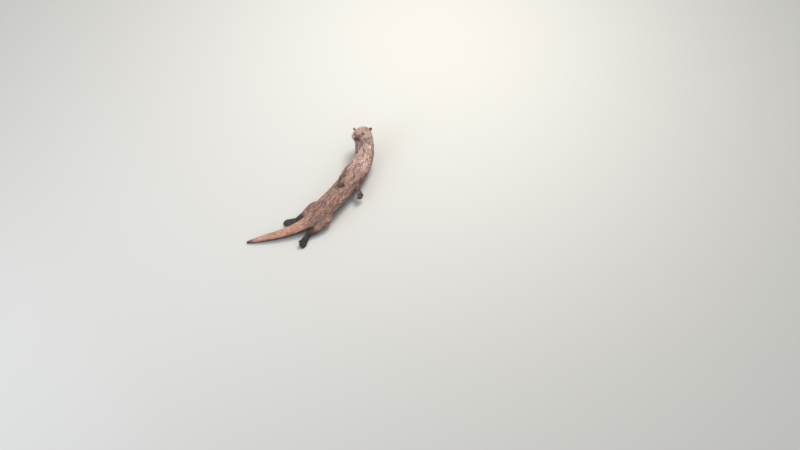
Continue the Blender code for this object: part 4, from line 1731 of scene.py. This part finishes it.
@dataclass
class Nose:
    """The broad bare nose pad with its two nostrils."""

    head: HeadPlan
    rows: int = 90
    columns: int = 120
    nostril_mm: tuple = (5.2, -0.6)  # out from the middle, up from the pad's middle

    def build(self) -> bpy.types.Object:
        """Makes the pad.

        Returns:
            The pad's object.
        """
        ball, faces = globe(self.rows, self.columns)
        y, z, x = ball.T
        x = np.where(x > 0, 0.74 * abs(x) ** 0.66 - 0.08 * z - 0.12 * z**2, x)
        width = self.head.nose_radii_mm[1] * (1 - 0.10 * z**2 - 0.24 * ramp(0, -1, z))
        places = np.stack(
            [
                x * self.head.nose_radii_mm[0],
                np.sign(y) * abs(y) ** 0.92 * width,
                z * self.head.nose_radii_mm[2] * np.where(z < 0, 0.86, 0.92),
            ],
            axis=1,
        )
        front = ramp(-0.1, 0.45, x)
        out, up = self.nostril_mm
        depth = np.zeros(len(places))
        for side in SIDES:
            gap = places[:, 1:] - (side * out, up)
            pit = np.exp(-((gap[:, 0] / 2.3) ** 2) - ((gap[:, 1] / 1.9) ** 2))
            tail = places[:, 1:] - (side * (out + 4.4), up - 1.7)
            slit = np.exp(-((tail[:, 0] / 3.0) ** 2) - ((tail[:, 1] / 0.9) ** 2))
            places[:, 0] -= front * (5.2 * pit + 1.6 * slit)
            depth = np.maximum(depth, front * np.maximum(pit, 0.7 * slit))
            rim = places[:, 1:] - (side * (out + 0.4), up + 2.9)
            places[:, 0] += front * 0.7 * np.exp(-((rim[:, 0] / 3.0) ** 2) - ((rim[:, 1] / 1.3) ** 2))
        groove = bell(places[:, 1], 0.75) * ramp(1.0, -3.0, places[:, 2])
        places[:, 0] -= front * groove
        points = self.head.world(places + self.head.nose_mm)
        piece = mesh_object("nose_pad", points, faces)
        # how deep in a nostril each point lies, where the pad's material paints shade
        set_field(piece.data, "pit", depth)
        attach(piece, "root")
        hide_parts("nose")
        return piece


@dataclass
class Claws:
    """Five short curved claws on each paw."""

    spine: Spine
    sides: int = 10
    rings: int = 9
    root_mm: float = 1.9  # how much thicker than the tip the root is
    tip_mm: float = 0.15
    droop: float = 0.42  # of the tip, as a share of the claw's length
    squash: float = 0.72
    axis_gap_mm: float = 1.2  # between the floor and the claw's axis, at least

    def build(self) -> list:
        """Makes one piece for each paw.

        Returns:
            The pieces.
        """
        made = []
        for limb in LIMBS:
            rods = [self.claw(limb, toe) for toe in limb.toes(self.spine)]
            points, faces = joined(rods)
            piece = mesh_object(f"claws_{limb.name}_{SIDES[limb.side]}", points, faces)
            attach(piece, "root")
            made.append(piece)
        return made

    def claw(self, limb: LimbPlan, toe: tuple) -> tuple:
        """Bends one claw down from a toe's tip.

        Args:
            limb: The leg.
            toe: The toe's knuckle, middle and tip in the paw's frame.

        Returns:
            Rows of points and rows of faces.
        """
        paw, turn = limb.paw, limb.paw_frame(self.spine)
        _, middle, tip = toe
        ahead = (tip - middle).normalized()
        root = tip - ahead * 0.1 * paw.toe_radius + Vector((0, 0, paw.toe_radius * 0.40))
        path, radii = [], []
        for k in range(self.rings):
            s = k / (self.rings - 1)
            drop = Vector((0, 0, -self.droop * paw.claw * s**2))
            path.append(turn @ (root + ahead * (paw.claw + paw.toe_radius * 0.75) * s + drop))
            radii.append(self.root_mm * MM * (1 - s**1.6) + self.tip_mm * MM)
        path = np.array(path)
        path[:, 2] = np.maximum(path[:, 2], self.axis_gap_mm * MM)
        points, faces = tube(path, np.array(radii), turn.col[1].xyz, self.squash, self.sides)
        points[:, 2] = np.maximum(points[:, 2], FLOOR_GAP_MM * MM)
        return points, faces


@dataclass
class Whiskers:
    """Stiff whiskers on the upper lip and a few over each eye."""

    skin: Skin
    rows: int = 4
    in_row: int = 5
    brows: int = 3  # over each eye
    sides: int = 5
    rings: int = 10
    root_mm: float = 0.20  # how much thicker than the tip the root is
    tip_mm: float = 0.05

    def build(self) -> bpy.types.Object:
        """Makes all whiskers as one piece.

        Returns:
            The piece.
        """
        rng = np.random.default_rng(SEED + 5)
        points = points_of(self.skin.piece.data)
        corners = [tuple(p.vertices) for p in self.skin.piece.data.polygons]
        tree = BVHTree.FromPolygons(points.tolist(), corners)
        rods = []
        for side in SIDES:
            for row in range(self.rows):
                for number in range(self.in_row):
                    # the rows run back from the nose, one below the other, and lengthen
                    place = (77 - 5.2 * number - row * 0.8, 17 + number * 1.6, -1 - 3.6 * row)
                    aim = (-0.10 - 0.13 * number, 1.0, -0.20 - 0.20 * row + 0.1 * rng.random())
                    length = 16 + 6.0 * number + 7 * rng.random()
                    rods.append(self.whisker(tree, side, place, aim, length))
            for number in range(self.brows):
                place = (40 - 3 * number, 17 + 2.5 * number, 24)
                aim = (-0.35, 0.55, 0.75)
                rods.append(self.whisker(tree, side, place, aim, 13 + 4 * rng.random()))
        points, faces = joined(rods)
        piece = mesh_object("whiskers", points, faces)
        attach(piece, "root")
        return piece

    def whisker(self, tree: BVHTree, side: int, place: tuple, aim: tuple, length: float) -> tuple:
        """Roots one whisker in the skin, bending back as it goes out.

        Args:
            tree: The skin.
            side: 1 for the left and -1 for the right.
            place: Near its root, in the left side's head axes, in millimetres.
            aim: Its direction in the same axes.
            length: In millimetres.

        Returns:
            Rows of points and rows of faces.
        """
        head = self.skin.head
        spot = head.world(np.array(place) * (1, side, 1))
        root = np.array(tree.find_nearest(spot.tolist())[0])
        out = unit(np.array(aim) * (1, side, 1)) @ head.axes
        back = -head.axes[0] * 0.55 - head.axes[2] * 0.25
        s = np.linspace(0, 1, self.rings)[:, None]
        path = root + (out * (s - 0.04) + back * s**2 * 0.55) * length * MM
        radii = (self.root_mm * (1 - s[:, 0]) ** 0.8 + self.tip_mm) * MM
        return tube(path, radii, Vector(head.axes[2]), 1.0, self.sides)


# -------- finishes


def new_material(name: str, settings: dict) -> tuple:
    """Makes a material whose shader has its constant values.

    Args:
        name: The material's name.
        settings: Values by the name of the shader's input.

    Returns:
        The material, its node tree and its shader.
    """
    made = bpy.data.materials.new(name)
    made.use_nodes = True
    shader = made.node_tree.nodes["Principled BSDF"]
    for socket, value in settings.items():
        shader.inputs[socket].default_value = value
    return made, made.node_tree, shader


@dataclass(frozen=True)
class CoatFinish:
    """Wet guard hair over dense underfur, which is keratin under a film of water.

    Painted shade darkens the tufts' roots, the locks' edges and the partings between locks, painted
    glints lighten strands of the chest and throat, and the locks' ridges shine.
    """

    back: str = "#5f473b"
    belly: str = "#af8777"
    warm: str = "#e2a98f"  # the tail's underside
    pale: str = "#e4c3b7"  # throat and cheeks
    muzzle: str = "#84604f"
    dark: str = "#3b3230"  # hind paws, toes and the tail's tip, and round the eyes, where it is partly wet fur and partly painted shade under the brows
    rim: str = "#3a2d2a"  # bare skin at the lids and the lips, and painted shade in the clefts between the toes
    strand_tone_glint_shade: tuple = (0.30, 1.74)  # brightness where this field is 0 and where it is 1: painted shade in the partings at the dark end, painted glints at the light end
    reach: tuple = (0.55, 1.12)  # the same from a tuft's root to its tip: painted shade at the roots
    tone: tuple = (0.78, 1.20)  # from tuft to tuft
    lock: tuple = (0.66, 1.30)  # from lock to lock
    gap: tuple = (1.12, 0.70)  # from a lock's ridge to its edge: painted shade at the edges
    under_coat: float = 0.34  # brightness of the skin, which the coat shades
    wet: float = 0.26  # roughness where water lies on the hair
    damp: float = 0.48
    pore_mm: float = 10 / 9  # between the skin's creases
    pore_depth_mm: float = 0.6

    def skin(self) -> bpy.types.Material:
        """The skin under the coat: dull, with fine creases, and shaded by the hair.

        Returns:
            The material.
        """
        made, tree, shader = new_material(
            "otter_skin",
            {"Roughness": 0.6, "IOR": 1.55, "Coat Weight": 0.05, "Coat Roughness": 0.16},
        )
        # the skin takes the coat's strands, with their painted shade and painted glints
        colour, _ = self.marked(tree, ("strand_tone_glint_shade",))
        shaded = add_node(
            tree, "ShaderNodeVectorMath", {"operation": "SCALE", "Scale": self.under_coat}, {0: colour}
        )
        tree.links.new(shaded.outputs["Vector"], shader.inputs["Base Color"])
        place = add_node(tree, "ShaderNodeTexCoord", {}, {}).outputs["Object"]
        pores = add_node(
            tree,
            "ShaderNodeTexNoise",
            {"Scale": 1 / (self.pore_mm * MM), "Detail": 4.0},
            {"Vector": place},
        )
        relief = add_node(
            tree,
            "ShaderNodeBump",
            {"Strength": 0.6, "Distance": self.pore_depth_mm * MM},
            {"Height": pores.outputs["Fac"]},
        )
        tree.links.new(relief.outputs["Normal"], shader.inputs["Normal"])
        return made

    def fur(self) -> bpy.types.Material:
        """The tufts: glossy where water lies on the light strands and duller between them; their
        colour carries painted shade at the roots, the locks' edges and the partings, and painted
        glints on the strands.

        Returns:
            The material.
        """
        made, tree, shader = new_material(
            "wet_otter_fur", {"IOR": 1.55, "Coat Weight": 0.60, "Coat Roughness": 0.16}
        )
        colour, strand_tone_glint_shade = self.marked(tree, ("strand_tone_glint_shade", "reach", "tone", "lock", "gap"))
        tree.links.new(colour, shader.inputs["Base Color"])
        gloss = {"To Min": self.damp, "To Max": self.wet}
        rough = add_node(tree, "ShaderNodeMapRange", gloss, {"Value": strand_tone_glint_shade})
        tree.links.new(rough.outputs["Result"], shader.inputs["Roughness"])
        return made

    def marked(self, tree: bpy.types.NodeTree, shades: tuple) -> tuple:
        """Lays the coat's colours by the fields of the markings and shades them.

        Args:
            tree: The material's node tree.
            shades: The names of the fields that make the colour darker or lighter.

        Returns:
            The colour, and the value of the first shading field.
        """
        base = add_node(tree, "ShaderNodeRGB", {}, {})
        base.outputs[0].default_value = linear(self.back)
        colour = base.outputs[0]
        for name in ("belly", "warm", "pale", "muzzle", "dark", "rim"):
            mark = add_node(tree, "ShaderNodeAttribute", {"attribute_name": name}, {})
            mix = add_node(
                tree,
                "ShaderNodeMix",
                {"data_type": "RGBA", 7: linear(getattr(self, name))},
                {0: mark.outputs["Fac"], 6: colour},
            )
            colour = mix.outputs[2]
        values = []
        for name in shades:
            low, high = getattr(self, name)
            shade = add_node(tree, "ShaderNodeAttribute", {"attribute_name": name}, {})
            values.append(shade.outputs["Fac"])
            factor = add_node(
                tree, "ShaderNodeMapRange", {"To Min": low, "To Max": high}, {"Value": values[-1]}
            )
            links = {0: colour, "Scale": factor.outputs["Result"]}
            scale = add_node(tree, "ShaderNodeVectorMath", {"operation": "SCALE"}, links)
            colour = scale.outputs["Vector"]
        return colour, values[0]


@dataclass(frozen=True)
class EyeFinish:
    """A living eye: dark brown iris and black pupil under a clear wet cornea.

    The smooth film of tears gives the eye its small sharp highlights.
    """

    pupil: str = "#030202"
    iris: str = "#2c1810"
    white: str = "#3b2c27"
    pupil_edge: float = 26.0  # degrees from the middle
    iris_edge: float = 54.0

    def material(self) -> bpy.types.Material:
        """Builds the material.

        Returns:
            The material.
        """
        made, tree, shader = new_material(
            "wet_cornea",
            {"Roughness": 0.25, "IOR": 1.38, "Specular IOR Level": 0.2}
            | {"Coat Weight": 0.6, "Coat Roughness": 0.03},
        )
        gaze = add_node(tree, "ShaderNodeAttribute", {"attribute_name": "gaze"}, {})
        share = add_node(
            tree, "ShaderNodeMapRange", {"From Max": 180.0}, {"Value": gaze.outputs["Fac"]}
        )
        ring = add_node(tree, "ShaderNodeValToRGB", {}, {"Fac": share.outputs["Result"]})
        stops = ring.color_ramp.elements
        stops[0].position = self.pupil_edge / 180
        stops[0].color = linear(self.pupil)
        stops[1].position = (self.pupil_edge + 3) / 180
        stops[1].color = linear(self.iris)
        for edge, code in ((self.iris_edge, self.iris), (self.iris_edge + 5, self.white)):
            stops.new(edge / 180).color = linear(code)
        tree.links.new(ring.outputs["Color"], shader.inputs["Base Color"])
        return made


@dataclass(frozen=True)
class BareSkinFinish:
    """The nose pad's bare dark skin, grown in pebbles and damp: its highlights break up. Painted shade
    darkens the grooves between the pebbles and the nostrils.
    """

    tint: str = "#2c2220"
    # the pebbles' middles, lighter than the grooves between them, which hold painted shade
    light: str = "#4a3a36"
    pit: str = "#050303"  # painted shade within the nostrils
    pebble_mm: float = 0.7
    pebble_depth_mm: float = 0.3

    def material(self) -> bpy.types.Material:
        """Builds the material.

        Returns:
            The material.
        """
        made, tree, shader = new_material(
            "damp_nose_skin", {"IOR": 1.45, "Coat Weight": 0.2, "Coat Roughness": 0.15}
        )
        place = add_node(tree, "ShaderNodeTexCoord", {}, {}).outputs["Object"]
        scale = {"Scale": 1 / (self.pebble_mm * MM)}
        cells = add_node(tree, "ShaderNodeTexVoronoi", scale, {"Vector": place}).outputs["Distance"]
        relief = add_node(
            tree,
            "ShaderNodeBump",
            {"Strength": 0.7, "Distance": self.pebble_depth_mm * MM, "invert": True},
            {"Height": cells},
        )
        tree.links.new(relief.outputs["Normal"], shader.inputs["Normal"])
        # painted shade: lighter in each pebble's raised middle, darker in the grooves between pebbles
        ring = add_node(tree, "ShaderNodeValToRGB", {}, {"Fac": cells})
        ring.color_ramp.elements[0].color = linear(self.light)
        ring.color_ramp.elements[1].color = linear(self.tint)
        # painted shade: the nostrils turn near black, and dull
        pit = add_node(tree, "ShaderNodeAttribute", {"attribute_name": "pit"}, {}).outputs["Fac"]
        mix = add_node(
            tree,
            "ShaderNodeMix",
            {"data_type": "RGBA", 7: linear(self.pit)},
            {0: pit, 6: ring.outputs["Color"]},
        )
        tree.links.new(mix.outputs[2], shader.inputs["Base Color"])
        rough = add_node(tree, "ShaderNodeMapRange", {"To Min": 0.36, "To Max": 1.0}, {"Value": pit})
        tree.links.new(rough.outputs["Result"], shader.inputs["Roughness"])
        return made


@dataclass(frozen=True)
class HornFinish:
    """Horn, which is keratin grown in layers: satin, with a tint that is slightly uneven."""

    name: str
    dark: str
    light: str
    grain_mm: float = 2.0

    def material(self) -> bpy.types.Material:
        """Builds the material.

        Returns:
            The material.
        """
        made, tree, shader = new_material(self.name, {"Roughness": 0.35, "IOR": 1.55})
        place = add_node(tree, "ShaderNodeTexCoord", {}, {}).outputs["Object"]
        scale = {"Scale": 1 / (self.grain_mm * MM), "Detail": 3.0}
        grain = add_node(tree, "ShaderNodeTexNoise", scale, {"Vector": place})
        ring = add_node(tree, "ShaderNodeValToRGB", {}, {"Fac": grain.outputs["Fac"]})
        ring.color_ramp.elements[0].color = linear(self.dark)
        ring.color_ramp.elements[1].color = linear(self.light)
        tree.links.new(ring.outputs["Color"], shader.inputs["Base Color"])
        return made


@dataclass(frozen=True)
class FloorFinish:
    """Matt emulsion paint, rolled on: it has no highlight, so that soft shadows show."""

    tint: str = "#b0afab"

    def material(self) -> bpy.types.Material:
        """Builds the material and returns it."""
        settings = {"Base Color": linear(self.tint), "Roughness": 0.9}
        return new_material("matt_floor_paint", settings)[0]


# -------- studio


@dataclass
class Studio:
    """Floor, soft light and camera."""

    half_floor: float = 9.0
    sky: str = "#eef1f4"
    # name, place, the point that it faces, width, power in watts and colour
    lamps: tuple = (
        ("key", (0.9, 1.5, 2.7), (0.2, 0.0, 0.1), 1.1, 105.0, "#fff8ef"),
        ("fill", (-2.2, -1.4, 2.0), (0.0, 0.0, 0.1), 2.2, 46.0, "#eaf2ff"),
    )
    aim: tuple = (0.5140, -0.2077, 0.0)  # where the camera's axis meets the floor
    distance: float = 6.414
    elevation: float = 61.44
    lens: float = 50.0

    def build(self) -> None:
        """Lays the floor and sets up lights and camera."""
        half = self.half_floor
        corners = np.array([(-half, -half, 0), (half, -half, 0), (half, half, 0), (-half, half, 0)])
        floor = mesh_object("floor", corners, np.array([(0, 1, 2, 3)]))
        floor.data.materials.append(FloorFinish().material())
        scene = bpy.context.scene
        scene.world = bpy.data.worlds.new("studio")
        scene.world.use_nodes = True
        ground = scene.world.node_tree.nodes["Background"]
        ground.inputs["Color"].default_value = linear(self.sky)
        ground.inputs["Strength"].default_value = 1.0
        for name, place, aim, size, power, code in self.lamps:
            light = bpy.data.lights.new(name, "AREA")
            light.shape = "SQUARE"
            light.size = size
            light.energy = power
            light.color = linear(code)[:3]
            self.aimed(name, light, Vector(place), Vector(aim) - Vector(place))
        elevation = math.radians(self.elevation)
        back = Vector((0, -math.cos(elevation), math.sin(elevation)))
        data = bpy.data.cameras.new("camera")
        data.lens = self.lens
        data.sensor_width = 36.0
        data.clip_start = 0.05
        scene.camera = self.aimed("camera", data, Vector(self.aim) + back * self.distance, -back)
        scene.view_settings.view_transform = "Standard"

    @staticmethod
    def aimed(name: str, data: bpy.types.ID, place: Vector, along: Vector) -> bpy.types.Object:
        """Adds a lamp or the camera.

        Args:
            name: Its name.
            data: What it is.
            place: Where it is.
            along: The direction that it faces.

        Returns:
            The object.
        """
        made = bpy.data.objects.new(name, data)
        made.location = place
        made.rotation_mode = "QUATERNION"
        made.rotation_quaternion = along.to_track_quat("-Z", "Y")
        bpy.context.scene.collection.objects.link(made)
        return made


# -------- all together


def main() -> None:
    """Builds and dresses the otter and sets up the studio."""
    logging.basicConfig(level=logging.INFO, format="%(name)s %(relativeCreated)d %(message)s")
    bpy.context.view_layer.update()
    head = HeadPlan()
    spine = Spine()
    spine.attach(head)
    skin = Skin(head, spine)
    body = skin.build()
    LOG.info("skin: %d faces", len(body.data.polygons))
    finish = CoatFinish()
    body.data.materials.clear()
    body.data.materials.append(finish.skin())
    fur = finish.fur()
    for piece in Coat(skin).build():
        piece.data.materials.append(fur)
        LOG.info("%s: %d faces", piece.name, len(piece.data.polygons))
    eye = EyeFinish().material()
    for piece in Eyes(skin).build():
        piece.data.materials.append(eye)
        LOG.info("%s", piece.name)
    nose = Nose(head).build()
    nose.data.materials.append(BareSkinFinish().material())
    LOG.info("%s", nose.name)
    claw = HornFinish("claw_horn", "#1d1512", "#4a382c").material()
    for piece in Claws(spine).build():
        piece.data.materials.append(claw)
        LOG.info("%s", piece.name)
    whiskers = Whiskers(skin).build()
    whiskers.data.materials.append(HornFinish("whisker_horn", "#b9a48c", "#e4d8c6").material())
    LOG.info("%s", whiskers.name)
    Studio().build()


if __name__ == "__main__":
    main()
